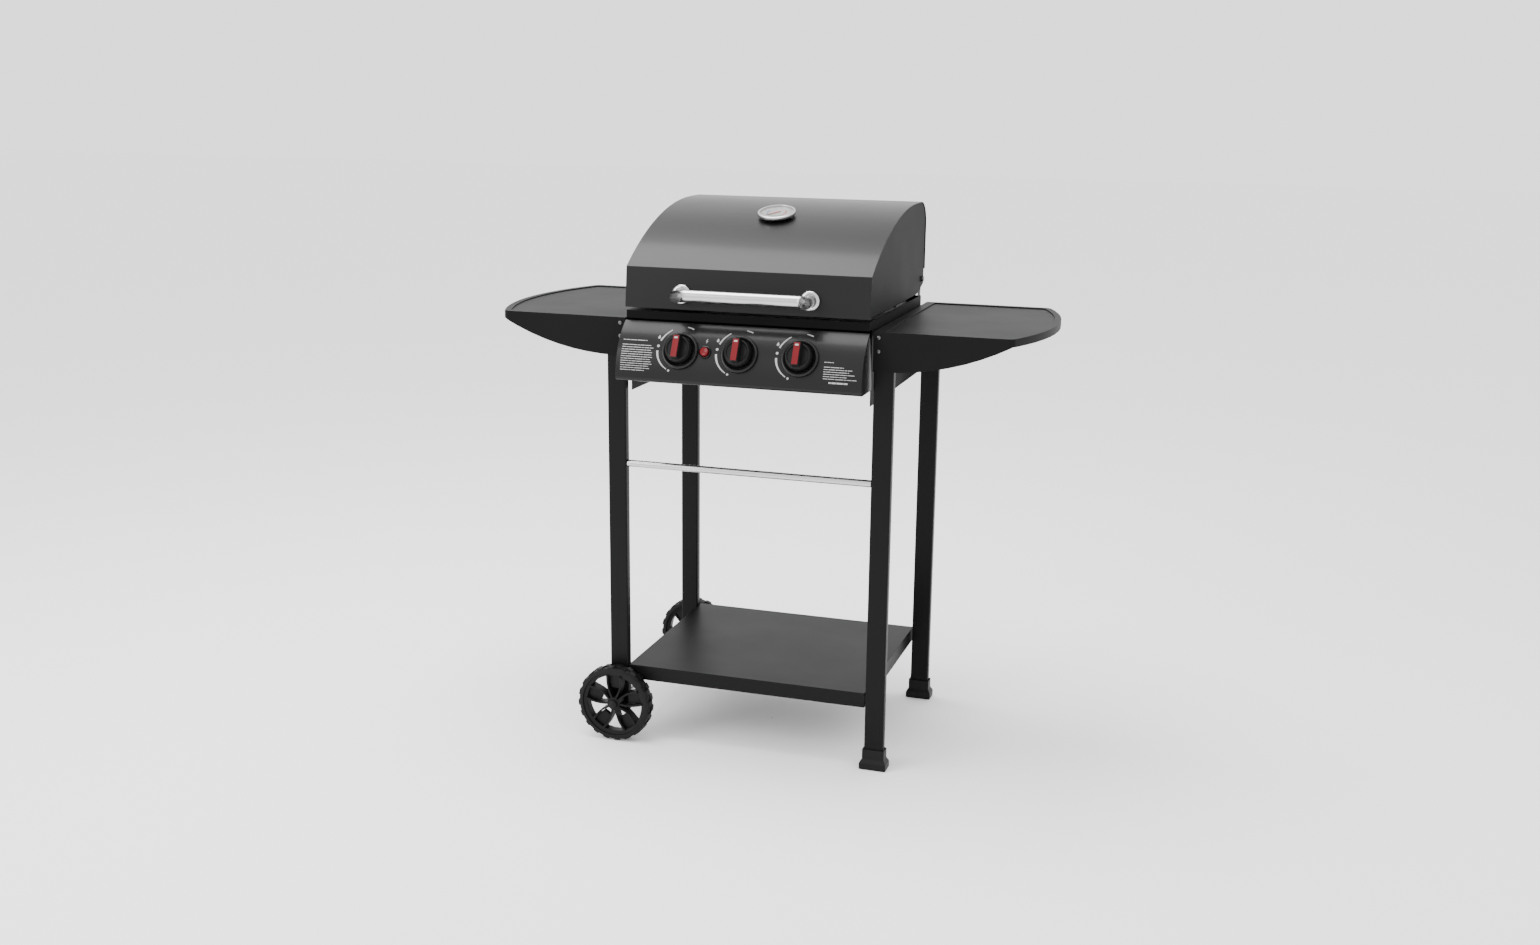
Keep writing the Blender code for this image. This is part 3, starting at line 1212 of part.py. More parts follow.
def knob(index, axis):
    """A round knob with a grip bar across it; a red insert lies in the bar."""
    low, top = KNOB_LOW, KNOB_TOP
    shoulder = low + KNOB_BODY
    profile = [
        (0.0, shoulder), (KNOB_RADIUS - 0.002, shoulder), (KNOB_RADIUS, shoulder - 0.002),
        (KNOB_RADIUS, low), (0.0, low),
    ]
    piece = turned(f"knob_{index}", profile, 28, parent=axis)
    half = KNOB_BAR_HALF
    bar = box(
        f"knob_bar_{index}",
        (-KNOB_GRIP_WIDTH / 2, -half, shoulder - 0.003), (KNOB_GRIP_WIDTH / 2, half, top), axis,
    )
    join(piece, bar)
    stem_room = BEZEL_HEIGHT + KNOB_BODY + KNOB_TRAVEL + RUNNING_GAP
    socket_radius = STEM_RADIUS + RUNNING_GAP
    socket = rod(f"knob_socket_{index}", socket_radius, low - 0.01, stem_room, steps=12, parent=axis)
    width, length, depth = GRIP_INSERT
    slot = box(
        f"knob_slot_{index}",
        (-width / 2, -length / 2, top - depth), (width / 2, length / 2, top + 0.01), axis,
    )
    cut(piece, socket, slot)
    finished(piece, f"knob_{index}", BLACK_PLASTIC)
    insert = box(
        f"knob_grip_{index}",
        (-width / 2 + GAP, -length / 2 + GAP, top - depth + GAP),
        (width / 2 - GAP, length / 2 - GAP, top + 0.001),
        axis,
    )
    finished(insert, f"knob_grip_{index}", RED_PLASTIC)


def igniter():
    """The piezo igniter behind the fascia and its push button."""
    axis = knob_axis("button_axis", KNOB_ROW_CENTRE - BUTTON_OFFSET)
    back = -SHEET - 0.002
    bore = BUTTON_RADIUS - 0.002
    body = rod("igniter_body", IGNITER_RADIUS, back - IGNITER_LENGTH, back, steps=16, parent=axis)
    room = BUTTON_TRAVEL + BUTTON_PROUD
    cut(body, rod("igniter_bore", bore + RUNNING_GAP, back - room - 0.002, 0.01, steps=16, parent=axis))
    finished(body, "igniter_body", BLACK_PLASTIC)
    shoulder = BUTTON_PROUD - 0.0055
    tail = back - room + BUTTON_TRAVEL
    profile = [
        (0.0, BUTTON_PROUD), (BUTTON_RADIUS - 0.0015, BUTTON_PROUD), (BUTTON_RADIUS, BUTTON_PROUD - 0.0015),
        (BUTTON_RADIUS, shoulder), (bore, shoulder), (bore, tail), (0.0, tail),
    ]
    finished(turned("igniter_button", profile, 20, parent=axis), "igniter_button", RED_PLASTIC)


def manifold():
    """The gas pipe that the three valves sit on, with a hose connector at the right."""
    depth = VALVE_START + VALVE_LENGTH
    tail = (
        KNOB_SURFACE_Y + depth * math.cos(KNOB_TILT), KNOB_HEIGHT - depth * math.sin(KNOB_TILT)
    )
    reach = VALVE_RADIUS + MANIFOLD_RADIUS + 2 * GAP
    centre = (
        tail[0] - reach * math.sin(KNOB_TILT) - 0.005 * math.cos(KNOB_TILT),
        tail[1] - reach * math.cos(KNOB_TILT) + 0.005 * math.sin(KNOB_TILT),
    )
    places = burner_places()
    left, right = places[0] - 0.035, places[-1] + 0.055
    connector = right + 0.030
    profile = [
        (0.0, connector - left), (MANIFOLD_RADIUS * 0.6, connector - left),
        (MANIFOLD_RADIUS * 0.6, right - left + 0.01), (MANIFOLD_RADIUS * 1.15, right - left + 0.01),
        (MANIFOLD_RADIUS * 1.15, right - left), (MANIFOLD_RADIUS, right - left), (MANIFOLD_RADIUS, 0.0),
        (0.0, 0.0),
    ]
    piece = turned("gas_manifold", profile, 16, (left, *centre), (0.0, math.pi / 2, 0.0))
    return finished(piece, "gas_manifold", STAINLESS)


def main():
    """Builds the whole barbecue."""
    legs()
    foot("foot_front_right", 0.0)
    foot("foot_rear_right", CART_DEPTH - LEG_DEPTH)
    running_gear()
    crossbar()
    bottom_shelf()
    side_table("side_table_left", -1)
    side_table("side_table_right", 1)
    cooking_parts()
    lid()
    control_panel()
    for index, x in enumerate(burner_places()):
        burner_control(index + 1, x)
    igniter()
    manifold()


main()
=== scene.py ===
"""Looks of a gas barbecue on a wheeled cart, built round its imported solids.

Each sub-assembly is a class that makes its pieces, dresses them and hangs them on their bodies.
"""

import json
import logging
import math
from contextlib import contextmanager
from dataclasses import dataclass
from enum import Enum
from typing import Any, Callable, Iterator, Sequence

import bpy
from mathutils import Matrix, Vector


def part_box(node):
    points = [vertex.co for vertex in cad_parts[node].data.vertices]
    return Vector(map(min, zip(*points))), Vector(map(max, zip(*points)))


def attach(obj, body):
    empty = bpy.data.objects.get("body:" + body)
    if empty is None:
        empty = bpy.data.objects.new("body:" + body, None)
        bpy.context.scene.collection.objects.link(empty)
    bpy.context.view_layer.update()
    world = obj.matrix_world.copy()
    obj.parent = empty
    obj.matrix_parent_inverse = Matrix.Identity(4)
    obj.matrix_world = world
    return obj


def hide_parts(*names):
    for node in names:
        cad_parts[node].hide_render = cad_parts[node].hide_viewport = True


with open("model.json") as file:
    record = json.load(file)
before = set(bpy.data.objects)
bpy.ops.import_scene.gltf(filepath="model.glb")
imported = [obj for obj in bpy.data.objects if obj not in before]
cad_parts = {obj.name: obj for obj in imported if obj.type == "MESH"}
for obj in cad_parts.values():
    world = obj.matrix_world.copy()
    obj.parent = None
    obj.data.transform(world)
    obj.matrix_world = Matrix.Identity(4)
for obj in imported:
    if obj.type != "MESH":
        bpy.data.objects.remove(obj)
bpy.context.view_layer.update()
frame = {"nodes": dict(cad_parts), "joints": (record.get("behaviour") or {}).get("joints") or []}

LOG = logging.getLogger("barbecue")
Profile = Sequence[tuple[float, float]]
FaceTest = Callable[[Vector, Vector], bool]


class Side(Enum):
    """The two hands of the barbecue."""

    LEFT = -1
    RIGHT = 1

    @property
    def word(self) -> str:
        """The side as node names spell it."""
        return self.name.lower()


class Body(Enum):
    """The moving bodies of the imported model."""

    CART = "barbecue"
    LID = "lid"
    NEEDLE = "needle"
    TRAY = "grease_tray"
    BUTTON = "button"


# ---------------------------------------------------------------- materials
class Wire:
    """A number in a material's graph that takes part in expressions."""

    def __init__(self, graph: "Graph", socket: bpy.types.NodeSocket) -> None:
        """Holds a socket of a graph."""
        self.graph = graph
        self.socket = socket

    def math(self, operation: str, *others: Any) -> "Wire":
        """This number put through a Math node.

        Args:
            operation: the Math node's operation.
            others: its further inputs, numbers or wires.

        Returns:
            The node's result.
        """
        return self.graph.node("ShaderNodeMath", {"operation": operation}, (self, *others))

    def __add__(self, other: Any) -> "Wire":
        """Sum."""
        return self.math("ADD", other)

    __radd__ = __add__

    def __mul__(self, other: Any) -> "Wire":
        """Product."""
        return self.math("MULTIPLY", other)

    __rmul__ = __mul__

    def __sub__(self, other: Any) -> "Wire":
        """Difference."""
        return self.math("SUBTRACT", other)

    def __rsub__(self, other: float) -> "Wire":
        """Difference from a number."""
        return self * -1.0 + other

    def __truediv__(self, other: Any) -> "Wire":
        """Quotient."""
        return self.math("DIVIDE", other)

    def ramp(self, low: float, high: float) -> "Wire":
        """Nought below one value, one above the other, smooth between."""
        settings = {"interpolation_type": "SMOOTHSTEP"}
        return self.graph.node("ShaderNodeMapRange", settings, (self, low, high, 0.0, 1.0))

    def band(self, low: float, high: float, soft: float) -> "Wire":
        """One between two values, with soft edges."""
        return self.ramp(low - soft, low + soft) * (1.0 - self.ramp(high - soft, high + soft))


class Graph:
    """A material's nodes, added one way, round one Principled shader."""

    def __init__(self, name: str) -> None:
        """Makes an empty material with its shader.

        Args:
            name: the material's name.
        """
        self.material = bpy.data.materials.new(name)
        self.material.use_nodes = True
        self.tree = self.material.node_tree
        self.shader = self.tree.nodes["Principled BSDF"]
        self.coordinates = self.tree.nodes.new("ShaderNodeTexCoord").outputs["Object"]

    def node(self, kind: str, settings: dict[str, Any], inputs: Any, output: Any = 0) -> Wire:
        """Adds a node.

        Args:
            kind: the node's type.
            settings: properties that are set first.
            inputs: values or wires, in order or by socket name or number.
            output: which output to return.

        Returns:
            The output as a wire.
        """
        node = self.tree.nodes.new(kind)
        for key, value in settings.items():
            setattr(node, key, value)
        pairs = inputs.items() if isinstance(inputs, dict) else enumerate(inputs)
        for key, value in pairs:
            if isinstance(value, Wire):
                self.tree.links.new(value.socket, node.inputs[key])
            elif isinstance(value, bpy.types.NodeSocket):
                self.tree.links.new(value, node.inputs[key])
            else:
                node.inputs[key].default_value = value
        return Wire(self, node.outputs[output])

    def noise(self, scale: float, detail: float = 2.0, place: Any = None) -> Wire:
        """A noise of a number of cells to the metre."""
        inputs = {"Vector": place or self.coordinates, "Scale": scale, "Detail": detail}
        return self.node("ShaderNodeTexNoise", {}, inputs)

    def stretched(self, scale: Sequence[float], turn: Sequence[float] = (0, 0, 0),
                  start: Sequence[float] = (0, 0, 0)) -> Wire:
        """The place on the piece, moved, turned and scaled along each axis."""
        inputs = {"Vector": self.coordinates, "Location": start, "Rotation": turn, "Scale": scale}
        return self.node("ShaderNodeMapping", {"vector_type": "POINT"}, inputs)

    def mix(self, mask: Any, low: Any, high: Any) -> Wire:
        """A colour between two colours."""
        return self.node("ShaderNodeMix", {"data_type": "RGBA"}, {0: mask, 6: low, 7: high}, 2)

    def relief(self, height: Wire, strength: float, depth: float) -> None:
        """Bumps the surface by a height."""
        inputs = {"Strength": strength, "Distance": depth, "Height": height}
        self.dress(Normal=self.node("ShaderNodeBump", {}, inputs))

    def dress(self, **values: Any) -> None:
        """Sets or links the shader's sockets.

        Args:
            values: numbers, colours or wires by socket name, with underscores for spaces.
        """
        for key, value in values.items():
            socket = self.shader.inputs[key.replace("_", " ")]
            if isinstance(value, Wire):
                self.tree.links.new(value.socket, socket)
            else:
                socket.default_value = value


def shade(colour: Sequence[float], factor: float) -> tuple[float, float, float, float]:
    """A colour made lighter or darker, with full alpha."""
    return (*(min(1.0, channel * factor) for channel in colour[:3]), 1.0)


@dataclass(frozen=True)
class Coating:
    """A sprayed and baked coating: fine orange peel, faint clouds and a little settled dust."""

    name: str
    colour: tuple[float, float, float]
    roughness: float
    peel: float = 650.0
    depth: float = 0.00004
    coat: float = 0.0
    gloss: float = 0.10

    def build(self) -> bpy.types.Material:
        """Makes the material.

        Returns:
            The material, ready to assign.
        """
        graph = Graph(self.name)
        peel = graph.noise(self.peel, 2.0)
        clouds = graph.noise(7.0, 5.0)
        specks = graph.noise(1900.0, 1.0).ramp(0.70, 0.76)
        tint = graph.mix(clouds, shade(self.colour, 0.88), shade(self.colour, 1.14))
        graph.dress(
            Base_Color=graph.mix(specks * 0.25, tint, shade(self.colour, 2.2)),
            Roughness=(clouds - 0.5) * 0.10 + (peel - 0.5) * 0.06 + self.roughness,
            Metallic=0.0, Specular_IOR_Level=self.gloss, Coat_Weight=self.coat, Coat_Roughness=0.15,
        )
        graph.relief(peel + specks * 0.15, 0.35, self.depth)
        return graph.material


@dataclass(frozen=True)
class Metal:
    """Drawn or brushed metal: fine streaks along one axis and faint handling clouds."""

    name: str
    colour: tuple[float, float, float]
    roughness: float
    along: tuple[float, float, float] = (6.0, 900.0, 900.0)
    tint: tuple[float, float, float] | None = None

    def build(self) -> bpy.types.Material:
        """Makes the material.

        Returns:
            The material, ready to assign.
        """
        graph = Graph(self.name)
        streaks = graph.noise(1.0, 3.0, graph.stretched(self.along))
        clouds = graph.noise(14.0, 4.0)
        colour = graph.mix(streaks, shade(self.colour, 0.90), shade(self.colour, 1.06))
        if self.tint:
            colour = graph.mix(graph.noise(9.0, 3.0).ramp(0.48, 0.70) * 0.8, colour, shade(self.tint, 1.0))
        graph.dress(
            Base_Color=colour, Metallic=1.0,
            Roughness=(streaks - 0.5) * 0.16 + (clouds - 0.5) * 0.10 + self.roughness,
        )
        graph.relief(streaks, 0.15, 0.00002)
        return graph.material


@dataclass(frozen=True)
class Moulding:
    """Moulded plastic with a spark-eroded grain."""

    name: str
    colour: tuple[float, float, float]
    roughness: float
    grain: float = 1500.0
    depth: float = 0.00004
    coat: float = 0.0

    def build(self) -> bpy.types.Material:
        """Makes the material.

        Returns:
            The material, ready to assign.
        """
        graph = Graph(self.name)
        grain = graph.noise(self.grain, 2.0)
        clouds = graph.noise(35.0, 3.0)
        graph.dress(
            Base_Color=graph.mix(clouds, shade(self.colour, 0.85), shade(self.colour, 1.15)),
            Roughness=(grain - 0.5) * 0.12 + (clouds - 0.5) * 0.08 + self.roughness,
            Metallic=0.0, Specular_IOR_Level=0.14, Coat_Weight=self.coat, Coat_Roughness=0.12,
        )
        graph.relief(grain, 0.3, self.depth)
        return graph.material


@dataclass(frozen=True)
class Casting:
    """Sand-cast iron under black enamel."""

    name: str
    colour: tuple[float, float, float]
    roughness: float

    def build(self) -> bpy.types.Material:
        """Makes the material.

        Returns:
            The material, ready to assign.
        """
        graph = Graph(self.name)
        sand = graph.noise(420.0, 4.0)
        lumps = graph.noise(90.0, 2.0)
        graph.dress(
            Base_Color=graph.mix(sand.ramp(0.35, 0.70), shade(self.colour, 0.7), shade(self.colour, 1.5)),
            Roughness=(sand - 0.5) * 0.3 + self.roughness, Metallic=0.1,
        )
        graph.relief(sand * 0.7 + lumps, 0.5, 0.0002)
        return graph.material


@dataclass(frozen=True)
class DialFace:
    """The thermometer's printed face: a scale of ticks, an outer ring and a band in three colours."""

    name: str
    centre: tuple[float, float, float]
    tilt: float
    radius: float
    ticks: int = 40

    def build(self) -> bpy.types.Material:
        """Makes the material.

        Returns:
            The material, ready to assign.
        """
        graph = Graph(self.name)
        turned = Matrix.Rotation(-self.tilt, 4, "X")
        start = turned @ (Vector(self.centre) * -1.0)
        flat = graph.stretched((1, 1, 1), (-self.tilt, 0, 0), tuple(start))
        axes = {}
        for index, letter in enumerate("XY"):
            axes[letter] = graph.node("ShaderNodeSeparateXYZ", {}, (flat,), index)
        reach = (axes["X"] * axes["X"] + axes["Y"] * axes["Y"]).math("SQRT") / self.radius
        turn = axes["X"].math("ARCTAN2", axes["Y"] * -1.0) / (2 * math.pi) + 0.5
        scale_span = turn.band(0.13, 0.87, 0.002)
        tick = (turn * float(self.ticks)).math("FRACT").band(0.42, 0.58, 0.03)
        long_tick = (turn * float(self.ticks / 5)).math("FRACT").band(0.47, 0.53, 0.006)
        short_marks = tick * reach.band(0.82, 0.90, 0.01)
        marks = short_marks.math("MAXIMUM", long_tick * reach.band(0.70, 0.90, 0.01))
        ring = reach.band(0.91, 0.925, 0.006)
        ink = (marks * scale_span).math("MAXIMUM", ring)
        zone = reach.band(0.50, 0.62, 0.01)
        paper = graph.mix(graph.noise(60.0, 3.0), (0.20, 0.20, 0.195, 1), (0.27, 0.27, 0.26, 1))
        low = graph.mix(zone * turn.band(0.16, 0.38, 0.004), paper, (0.03, 0.07, 0.15, 1))
        middle = graph.mix(zone * turn.band(0.39, 0.62, 0.004), low, (0.03, 0.11, 0.03, 1))
        high = graph.mix(zone * turn.band(0.63, 0.85, 0.004), middle, (0.20, 0.02, 0.012, 1))
        graph.dress(Base_Color=graph.mix(ink, high, (0.004, 0.004, 0.004, 1)), Roughness=0.35, Metallic=0.25)
        graph.relief(graph.noise(900.0), 0.08, 0.00002)
        return graph.material


@dataclass(frozen=True)
class Pane:
    """Clear glass with a trace of smears."""

    name: str

    def build(self) -> bpy.types.Material:
        """Makes the material.

        Returns:
            The material, ready to assign.
        """
        graph = Graph(self.name)
        graph.dress(
            Base_Color=(0.5, 0.52, 0.52, 1.0), Roughness=graph.noise(40.0, 3.0) * 0.05 + 0.03,
            Alpha=0.05, Specular_IOR_Level=0.3, Metallic=0.0,
        )
        return graph.material


@dataclass(frozen=True)
class Ink:
    """Screen-printed ink with slightly uneven cover."""

    name: str
    colour: tuple[float, float, float]

    def build(self) -> bpy.types.Material:
        """Makes the material.

        Returns:
            The material, ready to assign.
        """
        graph = Graph(self.name)
        cover = graph.noise(1400.0, 2.0)
        graph.dress(
            Base_Color=graph.mix(cover, shade(self.colour, 0.75), shade(self.colour, 1.1)),
            Roughness=(cover - 0.5) * 0.2 + 0.5,
        )
        return graph.material


# ---------------------------------------------------------------- modelling
def put_down() -> None:
    """Leaves edit mode and selects nothing."""
    if bpy.context.object and bpy.context.object.mode != "OBJECT":
        bpy.ops.object.mode_set(mode="OBJECT")
    bpy.ops.object.select_all(action="DESELECT")


class Workpiece:
    """A mesh that is being made by hand."""

    def __init__(self, name: str) -> None:
        """Takes the object that a primitive has just added.

        Args:
            name: its name.
        """
        self.obj = bpy.context.object
        self.obj.name = name
        self.obj.data.name = name

    @classmethod
    def ring(cls, name: str, radius: float, level: float, sides: int, filled: bool) -> "Workpiece":
        """Starts from a circle about the Z axis.

        Args:
            name: the piece's name.
            radius: the circle's radius.
            level: its height.
            sides: its number of corners.
            filled: whether it is a disc.

        Returns:
            The piece.
        """
        put_down()
        bpy.ops.mesh.primitive_circle_add(
            vertices=sides, radius=radius, fill_type="NGON" if filled else "NOTHING", location=(0, 0, level)
        )
        return cls(name).settle()

    @classmethod
    def block(cls, name: str, low: Sequence[float], high: Sequence[float]) -> "Workpiece":
        """Starts from a cube between two corners.

        Args:
            name: the piece's name.
            low: the corner with the smallest values.
            high: the corner with the largest.

        Returns:
            The piece.
        """
        put_down()
        centre = [(a + b) / 2 for a, b in zip(low, high)]
        bpy.ops.mesh.primitive_cube_add(size=1.0, location=centre)
        piece = cls(name)
        piece.obj.scale = [b - a for a, b in zip(low, high)]
        return piece.settle()

    @classmethod
    def like(cls, node: str, name: str) -> "Workpiece":
        """Starts from a merged copy of a CAD node, its flat faces made whole.

        Args:
            node: the node's name.
            name: the piece's name.

        Returns:
            The piece.
        """
        put_down()
        source = frame["nodes"][node]
        copy = bpy.data.objects.new(name, source.data.copy())
        copy.data.materials.clear()
        bpy.context.scene.collection.objects.link(copy)
        bpy.context.view_layer.objects.active = copy
        copy.select_set(True)
        piece = cls(name)
        with piece.editing("VERT", whole=True):
            bpy.ops.mesh.remove_doubles(threshold=0.00002)
            bpy.ops.mesh.dissolve_limited(angle_limit=math.radians(0.6))
        return piece

    @classmethod
    def turned(cls, name: str, profile: Profile, sides: int) -> "Workpiece":
        """A solid turned about Z, its first and last rings filled.

        Args:
            name: the piece's name.
            profile: (radius, height) of each ring.
            sides: faces round the axis.

        Returns:
            The piece.
        """
        radius, level = profile[0]
        piece = cls.ring(name, radius, level, sides, True)
        piece.grow(profile, (radius, level))
        return piece

    @classmethod
    def hoop(cls, name: str, profile: Profile, sides: int) -> "Workpiece":
        """A ring about Z with a closed section.

        Args:
            name: the piece's name.
            profile: (radius, height) of each point of the section.
            sides: faces round the axis.

        Returns:
            The piece.
        """
        radius, level = profile[0]
        piece = cls.ring(name, radius, level, sides, False)
        piece.grow([*profile, profile[0]], (radius, level))
        return piece.weld(0.000005)

    def grow(self, profile: Profile, start: tuple[float, float]) -> None:
        """Extrudes the whole first ring through the further rings of a profile.

        Args:
            profile: (radius, height) of each ring, the first one made already.
            start: the first ring's radius and height.
        """
        radius, level = start
        with self.editing("EDGE", whole=True):
            for next_radius, next_level in profile[1:]:
                bpy.ops.mesh.extrude_region_move(
                    TRANSFORM_OT_translate={"value": (0.0, 0.0, next_level - level)}
                )
                share = next_radius / radius
                bpy.ops.transform.resize(value=(share, share, 1.0), center_override=(0.0, 0.0, next_level))
                radius, level = next_radius, next_level
            bpy.ops.mesh.select_all(action="SELECT")
            bpy.ops.mesh.normals_make_consistent(inside=False)

    def hold(self) -> None:
        """Selects this object alone and makes it active."""
        put_down()
        self.obj.select_set(True)
        bpy.context.view_layer.objects.active = self.obj

    @contextmanager
    def editing(self, kind: str, faces: FaceTest | None = None, whole: bool = False) -> Iterator[None]:
        """Edit mode with only the wanted faces selected.

        Args:
            kind: the selection mode.
            faces: a test of a face's centre and normal.
            whole: whether everything is selected instead.
        """
        self.hold()
        bpy.ops.object.mode_set(mode="EDIT")
        bpy.ops.mesh.select_mode(type=kind)
        bpy.ops.mesh.select_all(action="SELECT" if whole else "DESELECT")
        if faces:
            bpy.ops.object.mode_set(mode="OBJECT")
            for face in self.obj.data.polygons:
                face.select = faces(face.center, face.normal)
            bpy.ops.object.mode_set(mode="EDIT")
        yield
        bpy.ops.object.mode_set(mode="OBJECT")

    def weld(self, gap: float) -> "Workpiece":
        """Merges doubled corners and turns every face outwards.

        Args:
            gap: how far apart merged corners may lie.

        Returns:
            The piece.
        """
        with self.editing("VERT", whole=True):
            bpy.ops.mesh.remove_doubles(threshold=gap)
            bpy.ops.mesh.normals_make_consistent(inside=False)
        return self

    def settle(self) -> "Workpiece":
        """Puts the object's own place, turn and scale into its mesh.

        Returns:
            The piece.
        """
        self.hold()
        bpy.ops.object.transform_apply(location=True, rotation=True, scale=True)
        return self

    def put(self, matrix: Matrix) -> "Workpiece":
        """Moves the mesh to its place."""
        self.obj.matrix_world = matrix
        return self.settle()

    def modify(self, kind: str, **settings: Any) -> "Workpiece":
        """Adds a modifier and applies it.

        Args:
            kind: the modifier's type.
            settings: its properties.

        Returns:
            The piece.
        """
        self.hold()
        step = self.obj.modifiers.new(kind.lower(), kind)
        for key, value in settings.items():
            setattr(step, key, value)
        bpy.ops.object.modifier_apply(modifier=step.name)
        return self

    def soften(self, width: float, segments: int = 2, angle: float = 35.0) -> "Workpiece":
        """Rounds the edges that turn more than an angle in degrees."""
        return self.modify(
            "BEVEL", width=width, segments=segments, limit_method="ANGLE", angle_limit=math.radians(angle),
            use_clamp_overlap=True, miter_outer="MITER_ARC",
        )

    def smooth(self, angle: float = 35.0) -> "Workpiece":
        """Smooth shading that keeps flat faces flat.

        Args:
            angle: the turn, in degrees, past which an edge stays sharp.

        Returns:
            The piece.
        """
        self.hold()
        bpy.ops.object.shade_smooth_by_angle(angle=math.radians(angle))
        return self.modify("WEIGHTED_NORMAL", keep_sharp=True, weight=60)

    def copy(self, name: str, matrix: Matrix) -> "Workpiece":
        """A copy with its own mesh, moved.

        Args:
            name: the copy's name.
            matrix: its place.

        Returns:
            The copy.
        """
        put_down()
        twin = self.obj.copy()
        twin.data = self.obj.data.copy()
        bpy.context.scene.collection.objects.link(twin)
        bpy.context.view_layer.objects.active = twin
        twin.select_set(True)
        return Workpiece(name).put(matrix)

    def join(self, *others: "Workpiece") -> "Workpiece":
        """Takes other workpieces into this one.

        Args:
            others: the pieces to take in.

        Returns:
            The joined piece.
        """
        put_down()
        for other in others:
            other.obj.select_set(True)
        self.obj.select_set(True)
        bpy.context.view_layer.objects.active = self.obj
        bpy.ops.object.join()
        return self

    def hand_over(self, body: str, look: bpy.types.Material, slot: str, *nodes: str) -> None:
        """Dresses the piece, hangs it on its body and hides the CAD nodes that it stands for.

        Args:
            body: the CAD body that it rides on.
            look: its material.
            slot: the record's material slot; not used.
            nodes: CAD nodes that it stands for.
        """
        self.obj.data.materials.clear()
        self.obj.data.materials.append(look)
        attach(self.obj, body)
        if nodes:
            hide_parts(*nodes)
        LOG.info("%s: %d faces", self.obj.name, len(self.obj.data.polygons))


def axis_frame(place: Sequence[float], outward: Sequence[float]) -> Matrix:
    """The turn and place of a piece whose +X lies along the barbecue's width.

    Args:
        place: where its origin goes.
        outward: where its +Z points.

    Returns:
        The matrix that puts it there.
    """
    z = Vector(outward).normalized()
    x = Vector((1.0, 0.0, 0.0))
    y = z.cross(x)
    turn = Matrix((x, y, z)).transposed().to_4x4()
    return Matrix.Translation(Vector(place)) @ turn


def joint(name: str) -> dict[str, Any]:
    """The record's entry of a joint."""
    return next(entry for entry in frame["joints"] if entry["name"] == name)


def middle(node: str) -> Vector:
    """The middle of a CAD node's box."""
    low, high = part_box(node)
    return (low + high) / 2


class Finishes:
    """All the materials, made once."""

    def __init__(self) -> None:
        """Builds each finish."""
        low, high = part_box("thermometer_dial")
        outward = Vector(joint("needle_turn")["axis"]) * -1.0
        tilt = math.atan2(-outward.y, outward.z)
        self.powder = Coating("black_powder_coat", (0.0035, 0.0035, 0.0037), 0.42, 750.0).build()
        self.paint = Coating(
            "grey_stove_paint", (0.006, 0.006, 0.0063), 0.46, 900.0, 0.00003, 0.0, 0.05
        ).build()
        self.enamel = Coating(
            "black_enamel", (0.005, 0.005, 0.0052), 0.36, 420.0, 0.00002, 0.12, 0.14
        ).build()
        self.end = Coating("end_enamel", (0.009, 0.009, 0.0093), 0.52, 420.0, 0.00003, 0.0, 0.045).build()
        self.firebox = Coating(
            "firebox_enamel", (0.0035, 0.0035, 0.0035), 0.50, 420.0, 0.00003, 0.0, 0.04
        ).build()
        self.bar = Metal("polished_bar", (0.50, 0.50, 0.50), 0.26).build()
        self.boss = Metal("polished_boss", (0.48, 0.48, 0.48), 0.22, (900.0, 900.0, 900.0)).build()
        self.wire = Metal("plated_wire", (0.46, 0.46, 0.46), 0.22, (60.0, 60.0, 60.0)).build()
        self.axle = Metal("plated_axle", (0.36, 0.36, 0.37), 0.30, (900.0, 6.0, 900.0)).build()
        self.stainless = Metal(
            "stainless_tube", (0.34, 0.34, 0.34), 0.34, (900.0, 8.0, 900.0), (0.20, 0.12, 0.07)
        ).build()
        self.sheet = Metal("stainless_sheet", (0.36, 0.36, 0.365), 0.36, (8.0, 600.0, 600.0)).build()
        self.brass = Metal("turned_brass", (0.42, 0.27, 0.09), 0.32, (400.0, 400.0, 400.0)).build()
        self.screw = Metal("zinc_screw", (0.12, 0.12, 0.122), 0.35, (300.0, 300.0, 300.0)).build()
        self.iron = Casting("enamelled_casting", (0.030, 0.030, 0.030), 0.50).build()
        self.plastic = Moulding("black_moulding", (0.005, 0.005, 0.005), 0.46).build()
        self.gloss = Moulding(
            "gloss_black_moulding", (0.004, 0.004, 0.004), 0.24, 900.0, 0.00001, 0.2
        ).build()
        self.tyre = Moulding("wheel_moulding", (0.004, 0.004, 0.004), 0.48, 1100.0, 0.00006).build()
        self.red = Moulding("red_moulding", (0.115, 0.0025, 0.006), 0.30, 1200.0, 0.00002, 0.15).build()
        self.needle = Ink("needle_red", (0.25, 0.008, 0.008)).build()
        self.ink = Ink("pale_print", (0.34, 0.34, 0.34)).build()
        self.glass = Pane("thermometer_glass").build()
        self.dial = DialFace("dial_print", tuple((low + high) / 2), tilt, (high.x - low.x) / 2).build()


@dataclass
class Refined:
    """A CAD node shown as a merged copy with softened edges."""

    node: str
    body: str
    slot: str
    width: float = 0.0004
    angle: float = 35.0

    def build(self, look: bpy.types.Material) -> None:
        """Makes the piece.

        Args:
            look: its material.
        """
        piece = Workpiece.like(self.node, self.node + "_shown")
        if self.width:
            piece.soften(self.width, 2, self.angle)
        piece.smooth(self.angle)
        piece.hand_over(self.body, look, self.slot, self.node)


